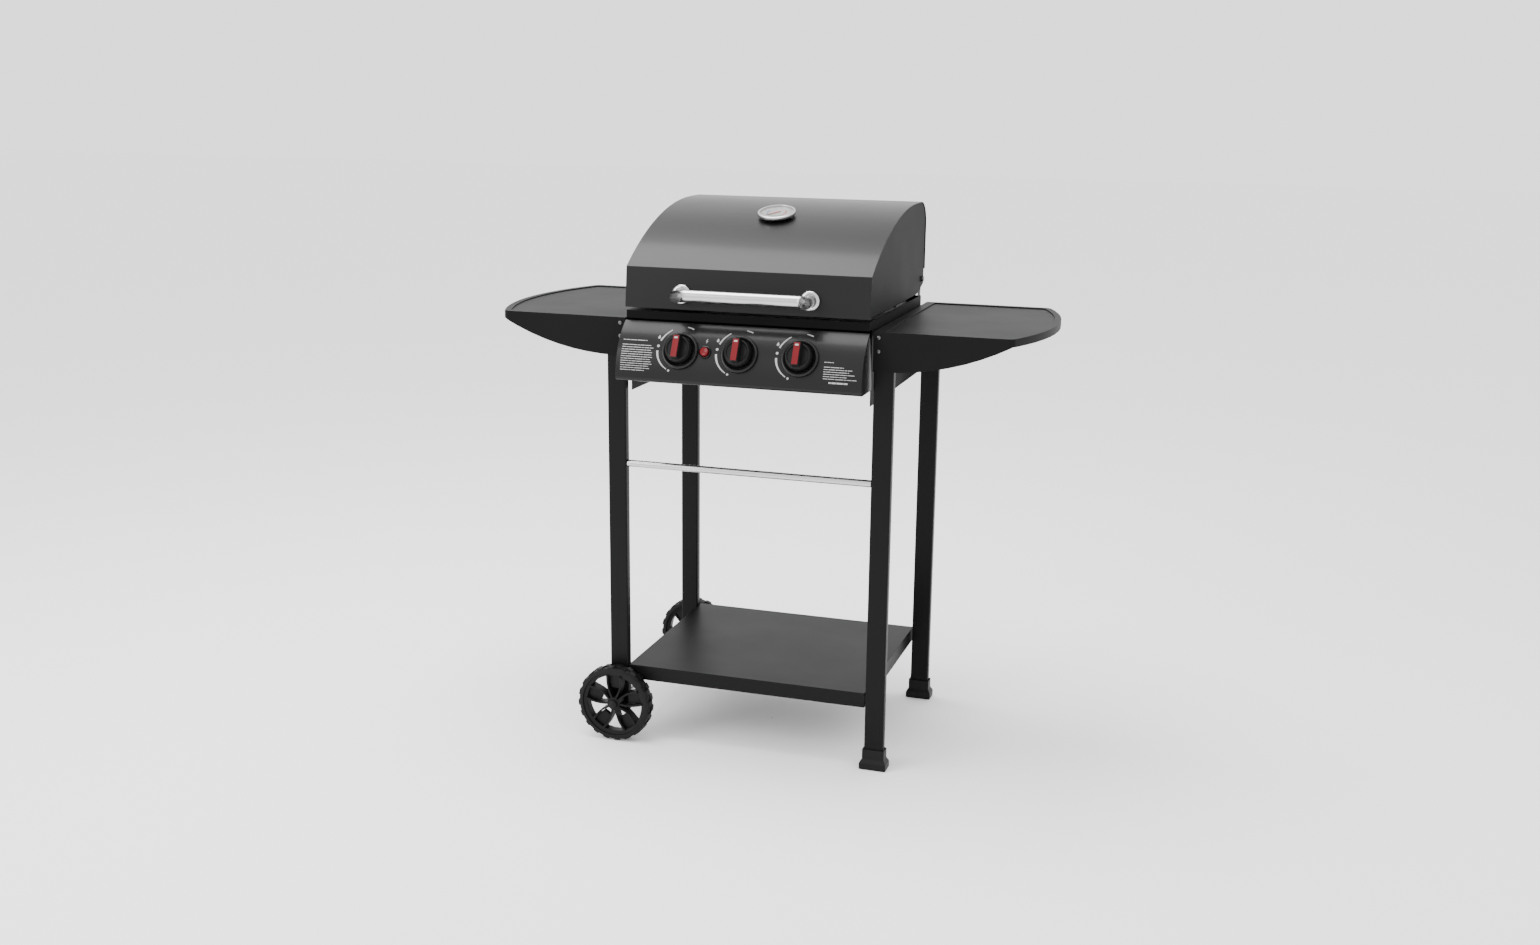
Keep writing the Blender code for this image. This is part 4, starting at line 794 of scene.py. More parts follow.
# ---------------------------------------------------------------- sub-assemblies
@dataclass
class Cart:
    """Legs, feet, shelf, towel bar and axle."""

    finishes: Finishes
    leg_edge: float = 0.0003
    shelf_edge: float = 0.0005
    foot_edge: float = 0.0016

    def build(self) -> None:
        """Makes every piece of the cart."""
        cart = Body.CART.value
        for side in Side:
            for place in ("front", "rear"):
                Refined(f"leg_{place}_{side.word}", cart, "leg_paint", self.leg_edge, 60.0).build(
                    self.finishes.powder
                )
        Refined("bottom_shelf", cart, "leg_paint", self.shelf_edge).build(self.finishes.powder)
        for place in ("front", "rear"):
            self.foot(f"foot_{place}_right")
        Refined("axle", cart, "plain_steel", 0.0004).build(self.finishes.axle)
        self.towel_bar()

    def foot(self, node: str) -> None:
        """A moulded foot with a grooved base.

        Args:
            node: its CAD node.
        """
        piece = Workpiece.like(node, node + "_shown")
        piece.soften(self.foot_edge, 3, 20.0).smooth(40.0)
        piece.hand_over(Body.CART.value, self.finishes.plastic, "black_plastic", node)

    def towel_bar(self) -> None:
        """The bright bar between the front legs."""
        low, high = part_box("crossbar")
        radius = (high.z - low.z) / 2
        length = high.x - low.x
        lip, collar = 0.0005, 0.004
        bar = Workpiece.turned(
            "crossbar_shown",
            [(radius * 0.9, 0), (radius, lip), (radius, collar), (radius, length - collar),
             (radius, length - lip), (radius * 0.9, length)],
            40,
        )
        bar.put(Matrix.Translation((low.x, (low.y + high.y) / 2, (low.z + high.z) / 2))
                @ Matrix.Rotation(math.pi / 2, 4, "Y"))
        bar.smooth(50.0)
        bar.hand_over(Body.CART.value, self.finishes.bar, "satin_steel", "crossbar")


@dataclass
class Wheel:
    """A moulded wheel: tread blocks, round shoulders, paired bowed spokes and a capped hub."""

    finishes: Finishes
    end: str
    sides: int = 80
    block_height: float = 0.0026
    band: float = 0.0185
    rim_step: float = 0.0035
    spoke_pairs: int = 5
    spoke_width: float = 0.0036
    spoke_depth: float = 0.024
    pair_spread: float = 24.0
    bow: float = 0.0046
    hub_radius: float = 0.0125
    bore: float = 0.0044

    def __post_init__(self) -> None:
        """Takes the wheel's size from its node."""
        low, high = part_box("wheel_" + self.end)
        self.radius = (high.z - low.z) / 2
        self.half = (high.y - low.y) / 2
        self.outward = -1.0 if self.end == "front" else 1.0
        self.place = axis_frame((low + high) / 2, (0.0, self.outward, 0.0))

    def tread(self) -> Workpiece:
        """The tyre band with two staggered rows of blocks.

        Returns:
            The band, about Z.
        """
        root, inner, half = self.radius - self.block_height, self.radius - self.band, self.half
        shoulder = 0.004
        flank = [
            (root, half - shoulder), (root - shoulder * 0.3, half - shoulder * 0.3), (root - shoulder, half),
            (inner + 0.0075, half), (inner + 0.0068, half - self.rim_step),
            (inner + 0.001, half - self.rim_step - 0.001), (inner, half - self.rim_step - 0.002),
        ]
        profile = [(root, 0.0), *flank, *((reach, -level) for reach, level in reversed(flank))]
        tyre = Workpiece.hoop("wheel_tread", profile, self.sides)

        def is_block(centre: Vector, normal: Vector) -> bool:
            """Whether a tread face belongs to a block.

            Args:
                centre: the face's centre.
                normal: its normal.

            Returns:
                Whether it is one of the raised faces.
            """
            reach = math.hypot(centre.x, centre.y)
            if reach < root - shoulder * 0.45 or abs(centre.z) > half - shoulder * 0.1:
                return False
            step = int((math.atan2(centre.y, centre.x) / (2 * math.pi) + 1) * self.sides + 0.01) % 4
            return step in ((0, 1) if centre.z > 0 else (2, 3))

        with tyre.editing("FACE", is_block):
            bpy.ops.mesh.extrude_region_shrink_fatten(
                TRANSFORM_OT_shrink_fatten={"value": self.block_height * 0.78}
            )
        return tyre.soften(0.0005, 2, 40.0)

    def spoke(self) -> Workpiece:
        """One bowed blade from the hub to the band, along +X.

        Returns:
            The blade.
        """
        start, end = self.hub_radius * 0.6, self.radius - self.band + 0.001
        half = self.spoke_depth / 2
        blade = Workpiece.block(
            "wheel_spoke", (start, -self.spoke_width / 2, -half), (end, self.spoke_width / 2, half)
        )
        with blade.editing("EDGE", whole=True):
            bpy.ops.mesh.subdivide(number_cuts=9)
        for vertex in blade.obj.data.vertices:
            swell = math.sin(math.pi * ((vertex.co.x - start) / (end - start)))
            vertex.co.y *= 1.25 - 0.35 * swell
            vertex.co.y += self.bow * swell
            vertex.co.z *= 1.0 - 0.18 * swell
        return blade.soften(0.0005, 2, 50.0)

    def petal(self) -> Workpiece:
        """The sunk web that closes the outer half of a pair of spokes.

        Returns:
            The web.
        """
        outer, inner = self.radius - self.band + 0.001, (self.radius - self.band) * 0.52
        web = Workpiece.block("wheel_web", (inner, -0.0150, -0.0090), (outer, 0.0150, 0.0030))
        with web.editing("FACE", lambda centre, normal: normal.x < -0.9):
            bpy.ops.transform.resize(value=(1.0, 0.52, 0.8), center_override=(inner, 0.0, -0.003))
        return web.soften(0.0008)

    def build(self) -> None:
        """Makes the wheel and its cap."""
        wheel = self.tread()
        hub, chamfer = self.half - 0.0002, 0.0015
        rim = [(self.hub_radius, hub - chamfer), (self.hub_radius - chamfer, hub), (self.bore, hub)]
        section = [*rim, *((reach, -level) for reach, level in reversed(rim))]
        parts = [Workpiece.hoop("wheel_hub", section, 40)]
        blade, web = self.spoke(), self.petal()
        mirror = Matrix.Rotation(math.pi, 4, "X")
        for pair in range(self.spoke_pairs):
            turn = 2 * math.pi * pair / self.spoke_pairs + math.pi / 2
            for sign in (1, -1):
                lean = Matrix.Rotation(turn + sign * math.radians(self.pair_spread * 0.55), 4, "Z")
                hand = Matrix() if sign > 0 else mirror
                parts.append(blade.copy(f"spoke_{pair}_{sign + 1}", lean @ hand))
            parts.append(web.copy(f"web_{pair}", Matrix.Rotation(turn, 4, "Z")))
        for spare in (blade, web):
            bpy.data.objects.remove(spare.obj)
        wheel.join(*parts).put(self.place).smooth(40.0)
        wheel.obj.name = f"wheel_{self.end}_moulded"
        wheel.hand_over("wheel_" + self.end, self.finishes.tyre, "black_plastic", "wheel_" + self.end)
        self.cap()

    def cap(self) -> None:
        """The push-on cap over the axle's end."""
        node = "hub_cap_" + self.end
        low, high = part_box(node)
        radius, height = (high.z - low.z) / 2, high.y - low.y
        cap = Workpiece.turned(
            node + "_shown",
            [(radius * 0.55, 0.0), (radius, 0.0), (radius, height * 0.35), (radius * 0.93, height * 0.62),
             (radius * 0.72, height * 0.86), (radius * 0.4, height * 0.97), (radius * 0.1, height)], 32,
        )
        seat = (low + high) / 2 - Vector((0.0, self.outward * height / 2, 0.0))
        cap.put(axis_frame(seat, (0.0, self.outward, 0.0))).smooth(40.0)
        cap.hand_over(Body.CART.value, self.finishes.plastic, "black_plastic", node)


@dataclass
class Screw:
    """A pan-head screw with a cross recess."""

    radius: float = 0.0036
    height: float = 0.0022
    slot_width: float = 0.0008

    def build(self, name: str, place: Sequence[float], outward: Sequence[float], body: str,
              look: bpy.types.Material, slot: str) -> None:
        """Makes a screw head.

        Args:
            name: its name.
            place: the seat's middle.
            outward: the direction out of the surface.
            body: the body that it rides on.
            look: its material.
            slot: the record's material slot.
        """
        r, h = self.radius, self.height
        head = Workpiece.turned(
            name,
            [(r * 0.8, -0.0004), (r, 0.0001), (r, h * 0.35), (r * 0.9, h * 0.7), (r * 0.6, h * 0.95),
             (r * 0.2, h)], 20,
        )
        cuts = []
        for turn in (0.0, math.pi / 2):
            w = self.slot_width / 2
            cutter = Workpiece.block("slot", (-r * 0.62, -w, h * 0.4), (r * 0.62, w, h * 2))
            cuts.append(cutter.put(Matrix.Rotation(turn + 0.3, 4, "Z")))
        for cutter in cuts:
            head.modify("BOOLEAN", object=cutter.obj, operation="DIFFERENCE", solver="EXACT")
            bpy.data.objects.remove(cutter.obj)
        turn = Vector((0, 0, 1)).rotation_difference(Vector(outward)).to_matrix().to_4x4()
        head.put(Matrix.Translation(Vector(place)) @ turn).smooth(30.0)
        head.hand_over(body, look, slot)


@dataclass
class SideTable:
    """A pressed table with its screws."""

    finishes: Finishes
    side: Side
    edge: float = 0.0006
    screw_inset: float = 0.0097
    screw_drops: tuple[float, ...] = (0.0099, 0.0341)

    def build(self) -> None:
        """Makes the table and its screws."""
        node = "side_table_" + self.side.word
        low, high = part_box(node)
        Refined(node, Body.CART.value, "table_paint", self.edge).build(self.finishes.paint)
        inner = low.x if self.side is Side.RIGHT else high.x
        x = inner + self.side.value * self.screw_inset
        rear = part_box("leg_rear_" + self.side.word)[1].y
        for row, drop in enumerate(self.screw_drops):
            Screw().build(
                f"table_screw_{self.side.word}_{row + 1}", (x, low.y, high.z - drop), (0, -1, 0),
                Body.CART.value, self.finishes.screw, "stainless",
            )
            Screw().build(
                f"leg_screw_{self.side.word}_{row + 1}", (x, rear, high.z - 0.05 - drop), (0, 1, 0),
                Body.CART.value, self.finishes.screw, "stainless",
            )


@dataclass
class CookingGear:
    """The firebox and what hangs in and under it."""

    finishes: Finishes
    grate_bar: float = 0.0065
    grate_slots: int = 11
    port_count: int = 24
    port_lean: float = 0.35
    port_start: float = 0.075
    port_margins: float = 0.125

    def build(self) -> None:
        """Makes every piece."""
        cart, looks = Body.CART.value, self.finishes
        Refined("firebox", cart, "body_enamel", 0.0004).build(looks.firebox)
        for index in (1, 2, 3):
            Refined(f"burner_{index}", cart, "stainless", 0.0004, 30.0).build(looks.stainless)
            Refined(f"heat_tent_{index}", cart, "stainless", 0.0003, 20.0).build(looks.sheet)
            Refined(f"valve_{index}", cart, "valve_brass", 0.0006, 30.0).build(looks.brass)
            Refined(f"valve_stem_{index}", f"stem_{index}", "valve_brass", 0.0003, 30.0).build(looks.brass)
            self.port_shades(index)
        for side in Side:
            self.grate(side)
            Refined("tray_runner_" + side.word, cart, "leg_paint", 0.0003).build(looks.powder)
            Refined("lid_bracket_" + side.word, cart, "leg_paint", 0.0003).build(looks.powder)
        Refined("warming_rack", cart, "plain_steel", 0.0009).build(looks.wire)
        Refined("grease_tray", Body.TRAY.value, "stainless", 0.0004).build(looks.sheet)
        Refined("gas_manifold", cart, "stainless", 0.0006, 30.0).build(looks.stainless)
        Refined("igniter_body", cart, "black_plastic", 0.0006, 30.0).build(looks.plastic)

    def grate(self, side: Side) -> None:
        """A cast grate of round-edged bars, its cross bars let in a little lower.

        Args:
            side: which of the two.
        """
        node = "grate_" + side.word
        low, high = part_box(node)
        wide, sink = self.grate_bar, 0.0008
        pitch = (high.x - low.x - wide) / self.grate_slots
        bars = []
        for index in range(self.grate_slots + 1):
            x = low.x + pitch * index
            bars.append(Workpiece.block(f"bar_{index}", (x, low.y, low.z), (x + wide, high.y, high.z)))
        for index, y in enumerate((low.y + 0.0003, (low.y + high.y - wide) / 2, high.y - wide - 0.0003)):
            corner = (high.x - 0.001, y + wide, high.z - sink)
            bars.append(Workpiece.block(f"cross_{index}", (low.x + 0.001, y, low.z + 0.0004), corner))
        for bar in bars:
            bar.soften(0.0018, 3)
        grate = bars[0].join(*bars[1:])
        grate.obj.name = node + "_cast"
        grate.smooth(40.0)
        grate.hand_over(Body.CART.value, self.finishes.iron, "grate_iron", node)

    def port_shades(self, index: int) -> None:
        """The two rows of gas ports along a burner's sides, as small dark inserts: painted shade standing in
        for the holes.

        Args:
            index: the burner's number.
        """
        low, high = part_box(f"burner_{index}")
        centre = (low + high) / 2
        radius = (high.x - low.x) / 2
        port = Workpiece.turned("port", [(0.0009, -0.0004), (0.0011, 0.0001), (0.0005, 0.00025)], 8)
        port_shades = []
        for row in range(self.port_count):
            y = low.y + self.port_start + (high.y - low.y - self.port_margins) * row / (self.port_count - 1)
            for side in (-1, 1):
                out = Vector((side * math.cos(self.port_lean), 0.0, math.sin(self.port_lean)))
                turn = Vector((0, 0, 1)).rotation_difference(out).to_matrix().to_4x4()
                place = Vector((centre.x, y, centre.z)) + out * radius
                port_shades.append(port.copy(f"port_{row}_{side + 1}", Matrix.Translation(place) @ turn))
        port.join(*port_shades)
        port.obj.name = f"burner_ports_{index}"
        # the dark iron finish on these inserts is painted shade for the drilled holes
        port.hand_over(Body.CART.value, self.finishes.iron, "grate_iron")


@dataclass
class Lid:
    """The lid, its handle and its thermometer."""

    finishes: Finishes
    handle_bend: float = 0.016
    front_lean: float = 0.007 / 0.073
    boss_height: float = 0.0072

    def build(self) -> None:
        """Makes every piece of the lid."""
        lid = Body.LID.value
        Refined("lid_wrapper", lid, "body_enamel", 0.0005, 20.0).build(self.finishes.enamel)
        for side in Side:
            Refined("lid_end_" + side.word, lid, "body_enamel", 0.0004).build(self.finishes.end)
            Refined("lid_pivot_" + side.word, lid, "stainless", 0.0004, 30.0).build(self.finishes.screw)
            self.boss(side)
        self.handle()
        self.thermometer()

    def handle(self) -> None:
        """The tube handle, bent back at both ends."""
        low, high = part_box("lid_handle")
        radius = (high.z - low.z) / 2
        half, level = high.x - radius, (low.z + high.z) / 2
        bar, bend = low.y + radius, self.handle_bend
        tube = Workpiece.ring("lid_handle_bent", radius, 0.0, 36, True)
        tube.put(Matrix.Translation((-half, high.y, level)) @ Matrix.Rotation(math.pi / 2, 4, "X"))
        with tube.editing("FACE", whole=True):
            bpy.ops.mesh.extrude_region_move(
                TRANSFORM_OT_translate={"value": (0.0, bar + bend - high.y, 0.0)}
            )
            quarter = {"steps": 10, "angle": math.pi / 2, "axis": (0.0, 0.0, 1.0)}
            bpy.ops.mesh.spin(center=(bend - half, bar + bend, level), **quarter)
            bpy.ops.mesh.extrude_region_move(
                TRANSFORM_OT_translate={"value": (2 * (half - bend), 0.0, 0.0)}
            )
            bpy.ops.mesh.spin(center=(half - bend, bar + bend, level), **quarter)
            bpy.ops.mesh.extrude_region_move(
                TRANSFORM_OT_translate={"value": (0.0, high.y - bar - bend, 0.0)}
            )
        tube.weld(0.00001).smooth(50.0)
        tube.hand_over(Body.LID.value, self.finishes.bar, "satin_steel", "lid_handle")

    def boss(self, side: Side) -> None:
        """A round foot of the handle, stepped and domed.

        Args:
            side: the end that it stands at.
        """
        node = "handle_boss_" + side.word
        low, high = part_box(node)
        radius = (high.x - low.x) / 2
        outward = Vector((0.0, -1.0, self.front_lean)).normalized()
        thickness = self.boss_height
        seat = Vector(((low.x + high.x) / 2, low.y + thickness * 0.97 + 0.0006, (low.z + high.z) / 2))
        boss = Workpiece.turned(
            node + "_shown",
            [(radius * 0.94, -0.0004), (radius, 0.0004), (radius, thickness * 0.45),
             (radius * 0.95, thickness * 0.70), (radius * 0.84, thickness * 0.86),
             (radius * 0.72, thickness * 0.93), (radius * 0.66, thickness * 0.80),
             (radius * 0.5, thickness * 0.80)], 48,
        )
        boss.put(axis_frame(seat, outward)).smooth(40.0)
        boss.hand_over(Body.LID.value, self.finishes.boss, "satin_steel", node)

    def thermometer(self) -> None:
        """Case, glass, printed face and pointer."""
        record = joint("needle_turn")
        outward = Vector(record["axis"]) * -1.0
        place = axis_frame(record["pos_m"], outward)
        low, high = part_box("thermometer_case")
        radius = (high.x - low.x) / 2
        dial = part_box("thermometer_dial")
        inner = (dial[1].x - dial[0].x) / 2 + 0.0002
        top, floor = 0.0113, 0.0068
        case = Workpiece.turned(
            "thermometer_case_shown",
            [(0.004, -0.055), (0.0042, 0.0004), (radius * 0.60, 0.0004), (radius - 0.0025, 0.0032),
             (radius - 0.0008, 0.0042), (radius, 0.0058), (radius, top - 0.0022),
             (radius - 0.0007, top - 0.0006), (radius - 0.0019, top), (inner + 0.0006, top),
             (inner, top - 0.0008), (inner, floor), (0.002, floor)], 64,
        )
        case.put(place).smooth(35.0)
        case.hand_over(Body.LID.value, self.finishes.boss, "satin_steel", "thermometer_case")
        glass = Workpiece.turned(
            "thermometer_window",
            [(inner - 0.0002, top - 0.0014), (inner - 0.0002, top - 0.0007), (inner * 0.7, top - 0.0002),
             (inner * 0.3, top + 0.0001), (0.002, top + 0.0002)], 48,
        )
        glass.put(place).smooth(50.0)
        glass.hand_over(Body.LID.value, self.finishes.glass, "dial_paint")
        Refined("thermometer_dial", Body.LID.value, "dial_paint", 0.0).build(self.finishes.dial)
        Refined("thermometer_needle", Body.NEEDLE.value, "needle_paint", 0.0001).build(self.finishes.needle)


@dataclass
class Print:
    """Marks printed on the fascia, laid on its curved face."""

    finishes: Finishes
    lift: float = 0.00015
    ring: float = 0.0432

    def bar(self, x: float, rise: float, width: float, height: float, turn: float = 0.0) -> Workpiece:
        """A short straight mark.

        Args:
            x: its middle across the barbecue.
            rise: its middle above the knobs' line, along the face.
            width: its length.
            height: its thickness.
            turn: its slope in degrees.

        Returns:
            The flat mark, before it is laid on the face.
        """
        mark = Workpiece.block("mark", (-width / 2, -height / 2, 0.0), (width / 2, height / 2, 0.0001))
        with mark.editing("FACE", lambda centre, normal: normal.z < 0.5):
            bpy.ops.mesh.delete(type="ONLY_FACE")
        with mark.editing("VERT", whole=True):
            bpy.ops.mesh.delete_loose()
            bpy.ops.mesh.select_all(action="SELECT")
            bpy.ops.mesh.subdivide(number_cuts=1)
        return mark.put(Matrix.Translation((x, rise, 0.0)) @ Matrix.Rotation(math.radians(turn), 4, "Z"))

    def arc(self, x: float, radius: float, width: Sequence[float], span: Sequence[float]) -> Workpiece:
        """A curved mark about a knob.

        Args:
            x: the knob's place.
            radius: the arc's middle radius.
            width: its thickness at its start and its end.
            span: its start and end in degrees.

        Returns:
            The flat mark.
        """
        mark = Workpiece.ring("arc", radius, 0.0, 144, False)
        with mark.editing("EDGE", whole=True):
            bpy.ops.mesh.extrude_region_move(TRANSFORM_OT_translate={"value": (0.0, 0.0, 0.0)})
            bpy.ops.transform.resize(value=(1.04, 1.04, 1.0), center_override=(0.0, 0.0, 0.0))

        def outside(centre: Vector, normal: Vector) -> bool:
            """Whether a face is off the arc.

            Args:
                centre: the face's centre.
                normal: its normal.

            Returns:
                Whether it is to be deleted.
            """
            angle = math.degrees(math.atan2(centre.y, centre.x)) % 360
            return not span[0] <= angle <= span[1]

        with mark.editing("FACE", outside):
            bpy.ops.mesh.delete(type="FACE")
        for vertex in mark.obj.data.vertices:
            angle = math.degrees(math.atan2(vertex.co.y, vertex.co.x)) % 360
            share = min(1.0, max(0.0, (angle - span[0]) / (span[1] - span[0])))
            half = (width[0] + (width[1] - width[0]) * share) / 2
            reach = radius + (half if vertex.co.length > radius * 1.02 else -half)
            vertex.co = vertex.co.normalized() * reach
        return mark.put(Matrix.Translation((x, 0.0, 0.0)))

    def knob_marks(self, x: float) -> list[Workpiece]:
        """The scale round one knob: off, light, high, low.

        Args:
            x: the knob's place.

        Returns:
            Its flat marks.
        """
        ring = self.ring
        marks = [
            self.arc(x, ring, (0.0016, 0.0030), (122.0, 158.0)),
            self.arc(x, ring, (0.0040, 0.0018), (183.0, 238.0)),
            self.arc(x, ring - 0.0006, (0.0020, 0.0012), (68.0, 86.0)),
        ]
        for angle, size in ((171.0, 0.0050), (244.0, 0.0044)):
            turn = math.radians(angle)
            dot = Workpiece.ring("dot", size / 2, 0.0, 12, True)
            marks.append(dot.put(Matrix.Translation((x + ring * math.cos(turn), ring * math.sin(turn), 0.0))))
        flame = Workpiece.ring("flame", 0.0024, 0.0, 12, True)
        for vertex in flame.obj.data.vertices:
            vertex.co.y = vertex.co.y * (1.7 if vertex.co.y > 0 else 1.0)
            vertex.co.x *= 1.0 - max(0.0, vertex.co.y) * 120
        turn = math.radians(153.0)
        place = (x + (ring + 0.0062) * math.cos(turn), (ring + 0.0058) * math.sin(turn), 0.0)
        marks.append(flame.put(Matrix.Translation(place)))
        return marks

    def lines(self, left: float, top: float, widths: Sequence[float], pitch: float,
              height: float) -> list[Workpiece]:
        """Rows of short bars that stand for printed advice.

        Args:
            left: where the rows start.
            top: the first row's height above the knobs' line.
            widths: each row's length.
            pitch: the step from row to row.
            height: a bar's thickness.

        Returns:
            The flat bars.
        """
        marks = []
        for row, width in enumerate(widths):
            x, count = left, 0
            while x < left + width - 0.001:
                run = min(0.0042 + 0.0037 * ((row * 7 + count * 5) % 4), left + width - x)
                marks.append(self.bar(x + run / 2, top - row * pitch, run, height))
                x += run + 0.0011
                count += 1
        return marks

    def build(self, fascia: Workpiece, place: Matrix, knobs: Sequence[float], button: float) -> None:
        """Prints every mark and lays them on the fascia.

        Args:
            fascia: the panel that takes the print.
            place: the frame of the knobs' line, its +Z out of the panel.
            knobs: the knobs' places across the barbecue.
            button: the button's place.
        """
        marks = [mark for x in knobs for mark in self.knob_marks(x)]
        left = [0.046, 0.0, 0.056, 0.060, 0.056, 0.060, 0.058]
        left += [0.060, 0.056, 0.058, 0.060, 0.054, 0.056, 0.046]
        marks += self.lines(-0.2195, 0.0150, left, 0.0044, 0.0012)
        right = [0.017, 0.0, 0.036, 0.052, 0.046, 0.056, 0.044, 0.060]
        marks += self.lines(knobs[-1] + 0.0445, -0.0040, right, 0.0044, 0.0012)
        marks += self.lines(knobs[-1] + 0.055, -0.0420, [0.034], 0.004, 0.0030)
        for turn, rise in ((62.0, 0.0225), (-8.0, 0.0204), (62.0, 0.0183)):
            marks.append(self.bar(button + 0.0002, rise, 0.0038, 0.0011, turn))
        sheet = marks[0].join(*marks[1:])
        sheet.obj.name = "fascia_print"
        sheet.put(Matrix.Translation((0.0, -0.02, 0.0)) @ place)
        sheet.modify(
            "SHRINKWRAP", target=fascia.obj, wrap_method="PROJECT", wrap_mode="ON_SURFACE",
            use_negative_direction=True, use_positive_direction=True, use_project_y=True,
            project_limit=0.06, offset=self.lift,
        )
        sheet.hand_over(Body.CART.value, self.finishes.ink, "dial_paint")


@dataclass
class ControlPanel:
    """The fascia with its taps, button and print."""

    finishes: Finishes
    edge: float = 0.0009
    knob_sides: int = 64
    face_radius: float = 0.1163

    def build(self) -> None:
        """Makes every piece of the panel."""
        fascia = Workpiece.like("control_panel", "control_panel_shown")
        fascia.soften(self.edge, 3, 30.0).smooth(30.0)
        fascia.hand_over(Body.CART.value, self.finishes.enamel, "body_enamel", "control_panel")
        joints = [joint(f"knob_{index}_turn") for index in (1, 2, 3)]
        for index, record in enumerate(joints):
            self.tap(index + 1, axis_frame(record["pos_m"], record["axis"]))
        first = Vector(joints[0]["pos_m"])
        line = axis_frame((0.0, first.y, first.z), joints[0]["axis"])
        button_x = middle("igniter_button").x
        self.button(line @ Matrix.Translation((button_x, 0.0, 0.0)))
        Print(self.finishes).build(fascia, line, [record["pos_m"][0] for record in joints], button_x)

    def tap(self, index: int, place: Matrix) -> None:
        """A bezel, a knob and its red grip.

        Args:
            index: the tap's number.
            place: its frame, +Z out of the panel.
        """
        bezel_low, bezel_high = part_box(f"bezel_{index}")
        outer = (bezel_high.x - bezel_low.x) / 2
        knob_low, knob_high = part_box(f"knob_{index}")
        radius = (knob_high.x - knob_low.x) / 2
        inner = radius + 0.001
        bezel = Workpiece.hoop(
            f"bezel_{index}_shown",
            [(outer, -0.001), (outer, 0.0024), (outer - 0.0006, 0.0038), (outer - 0.0018, 0.0047),
             (outer - 0.0032, 0.0050), (outer - 0.0050, 0.0047), (inner + 0.0022, 0.0030),
             (inner + 0.0006, 0.0026), (inner - 0.0004, 0.0018), (0.0062, 0.0016), (0.0062, 0.0006),
             (outer - 0.0016, 0.0006), (outer - 0.0016, -0.001)], self.knob_sides,
        )
        bend = self.face_radius
        for vertex in bezel.obj.data.vertices:
            if vertex.co.z < -0.0005:
                vertex.co.z = 0.0006 - bend + math.sqrt(bend ** 2 - vertex.co.y ** 2)
        bezel.put(place).smooth(40.0)
        bezel.hand_over(Body.CART.value, self.finishes.gloss, "black_plastic", f"bezel_{index}")
        self.knob(index, place, radius)

    def knob(self, index: int, place: Matrix, radius: float) -> None:
        """A dished knob with a tapered grip bar and its red insert.

        Args:
            index: the tap's number.
            place: its frame, +Z out of the panel.
            radius: the knob's radius.
        """
        body = f"knob_{index}"
        low, shoulder, top = 0.0061, 0.0184, 0.0299
        knob = Workpiece.turned(
            f"knob_{index}_shown",
            [(radius - 0.0012, low), (radius, low + 0.0006), (radius - 0.0002, low + 0.0065),
             (radius - 0.0010, shoulder - 0.0022), (radius - 0.0022, shoulder - 0.0006),
             (radius - 0.0036, shoulder), (radius - 0.0050, shoulder - 0.0004),
             (radius - 0.0062, shoulder - 0.0016), (radius - 0.0120, shoulder - 0.0022),
             (0.002, shoulder - 0.0022)], self.knob_sides,
        )
        half = radius - 0.0021
        bar = Workpiece.block("grip", (-0.0076, -half, shoulder - 0.004), (0.0076, half, top))
        with bar.editing("FACE", lambda centre, normal: normal.z > 0.9):
            bpy.ops.transform.resize(value=(0.86, 0.93, 1.0), center_override=(0.0, 0.0, top))
        bar.soften(0.0016, 3, 40.0)
        knob.join(bar).put(place).smooth(35.0)
        knob.hand_over(body, self.finishes.plastic, "black_plastic", f"knob_{index}")
        reach = half * 0.91
        insert = Workpiece.block("red", (-0.0060, -reach, top - 0.003), (0.0060, reach, top + 0.0009))
        with insert.editing("FACE", lambda centre, normal: normal.z > 0.9):
            bpy.ops.transform.resize(value=(0.90, 0.97, 1.0), center_override=(0.0, 0.0, top))
            bpy.ops.mesh.inset(thickness=0.0012)
            bpy.ops.transform.translate(value=(0.0, 0.0, -0.0003))
        insert.soften(0.0006, 2, 30.0)
        insert.obj.name = f"knob_{index}_insert"
        insert.put(place).smooth(35.0)
        insert.hand_over(body, self.finishes.red, "red_plastic", f"knob_grip_{index}")
        pointer = Workpiece.block(
            "pointer", (-0.0032, half * 0.62, top), (0.0032, half * 0.76, top + 0.00085)
        )
        pointer.obj.name = f"knob_{index}_pointer"
        pointer.soften(0.0003).put(place).smooth(30.0)
        pointer.hand_over(body, self.finishes.ink, "dial_paint")

    def button(self, place: Matrix) -> None:
        """The igniter's collar and its dished red button.

        Args:
            place: the button's frame, +Z out of the panel.
        """
        collar = Workpiece.hoop(
            "igniter_collar",
            [(0.0118, -0.0004), (0.0118, 0.0012), (0.0110, 0.0026), (0.0099, 0.0030), (0.0088, 0.0022),
             (0.0084, 0.0002)], 40,
        )
        collar.put(place).smooth(40.0)
        collar.hand_over(Body.CART.value, self.finishes.gloss, "black_plastic")
        button = Workpiece.turned(
            "igniter_button_shown",
            [(0.0060, -0.0052), (0.0060, 0.0012), (0.0080, 0.0015), (0.0080, 0.0052), (0.0074, 0.0065),
             (0.0064, 0.0070), (0.0052, 0.0067), (0.0030, 0.0060), (0.0008, 0.0058)], 40,
        )
        button.put(place).smooth(40.0)
        button.hand_over(Body.BUTTON.value, self.finishes.red, "red_plastic", "igniter_button")


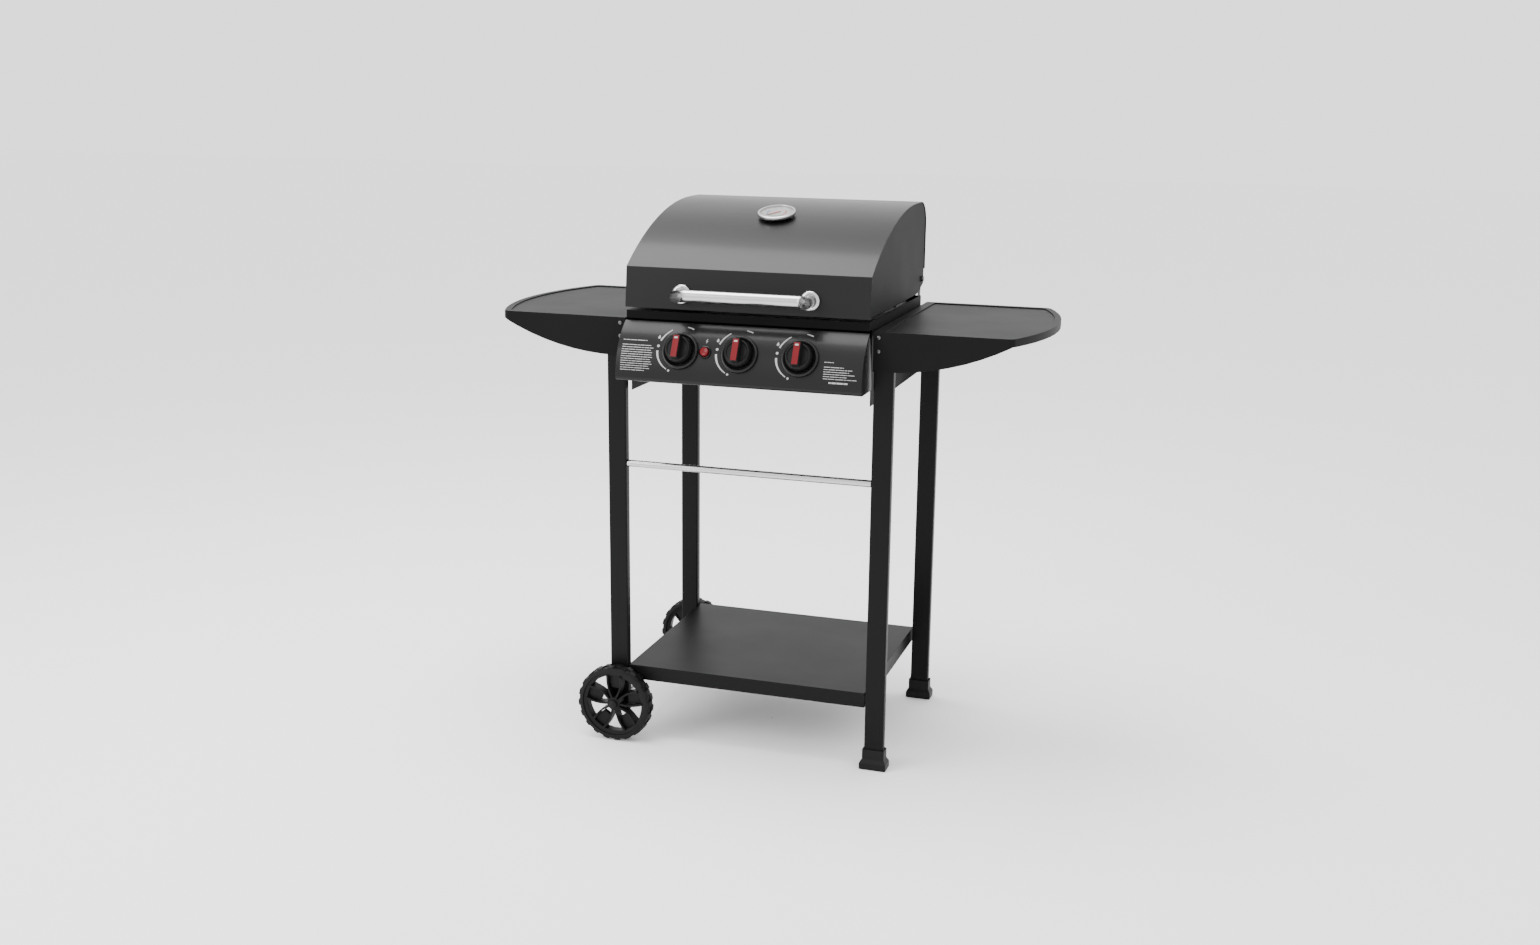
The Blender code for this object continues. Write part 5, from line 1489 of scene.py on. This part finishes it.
@dataclass
class Studio:
    """The camera, the pale floor and the soft lights."""

    focal: float = 1622.39
    frame_width: float = 1540.0
    sensor: float = 36.0
    eye: tuple[float, float, float] = (0.9071, -2.7167, 1.2293)
    pitch: float = 13.4726
    yaw: float = 17.5753
    roll: float = 0.6606
    room: float = 1.9

    def build(self) -> None:
        """Sets up the picture."""
        self.camera()
        self.floor()
        self.lights()

    def camera(self) -> None:
        """The camera at its viewing angle, placed from the front legs' face."""
        data = bpy.data.cameras.new("view")
        data.sensor_width = self.sensor
        data.lens = self.focal / self.frame_width * self.sensor
        camera = bpy.data.objects.new("view", data)
        bpy.context.scene.collection.objects.link(camera)
        pitch, yaw, roll = (math.radians(a) for a in (self.pitch, self.yaw, self.roll))
        level = math.cos(pitch)
        forward = Vector((-math.sin(yaw) * level, math.cos(yaw) * level, -math.sin(pitch)))
        right = Vector((math.cos(yaw), math.sin(yaw), 0.0))
        up = right.cross(forward)
        right, up = right * math.cos(roll) + up * math.sin(roll), up * math.cos(roll) - right * math.sin(roll)
        turn = Matrix((right, up, -forward)).transposed().to_4x4()
        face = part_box("leg_front_left")[0].y
        camera.matrix_world = Matrix.Translation(Vector(self.eye) + Vector((0.0, face, 0.0))) @ turn
        bpy.context.scene.camera = camera

    def floor(self) -> None:
        """A pale floor."""
        put_down()
        bpy.ops.mesh.primitive_plane_add(size=40.0, location=(0.0, 0.0, -0.0005))
        floor = bpy.context.object
        floor.name = "floor"
        graph = Graph("pale_floor")
        graph.dress(Base_Color=(0.98, 0.98, 0.98, 1.0), Roughness=0.95, Specular_IOR_Level=0.05)
        floor.data.materials.append(graph.material)

    def lights(self) -> None:
        """Large soft lights above and in front, and a pale room."""
        world = bpy.context.scene.world or bpy.data.worlds.new("room")
        bpy.context.scene.world = world
        world.use_nodes = True
        back = world.node_tree.nodes["Background"]
        back.inputs["Color"].default_value = (1.0, 1.0, 1.0, 1.0)
        back.inputs["Strength"].default_value = self.room
        self.area("overhead", (-0.5, 0.0, 2.7), (0.0, 0.0, 0.9), 1.5, 75.0)
        self.area("front_left", (-2.2, -2.4, 2.1), (0.0, 0.0, 0.8), 1.6, 60.0)

    def area(self, name: str, place: Sequence[float], target: Sequence[float], size: float,
             power: float) -> None:
        """A square soft light.

        Args:
            name: its name.
            place: where it stands.
            target: what it faces.
            size: the length of its side.
            power: its power in watts.
        """
        data = bpy.data.lights.new(name, "AREA")
        data.size = size
        data.energy = power
        light = bpy.data.objects.new(name, data)
        bpy.context.scene.collection.objects.link(light)
        light.location = place
        light.rotation_euler = (Vector(target) - Vector(place)).to_track_quat("-Z", "Y").to_euler()


def main() -> None:
    """Builds the barbecue's looks, sub-assembly by sub-assembly."""
    logging.basicConfig(level=logging.INFO, format="%(message)s")
    finishes = Finishes()
    Studio().build()
    Cart(finishes).build()
    for end in ("front", "rear"):
        Wheel(finishes, end).build()
    for side in Side:
        SideTable(finishes, side).build()
    CookingGear(finishes).build()
    Lid(finishes).build()
    ControlPanel(finishes).build()
    put_down()


if __name__ == "__main__":
    main()
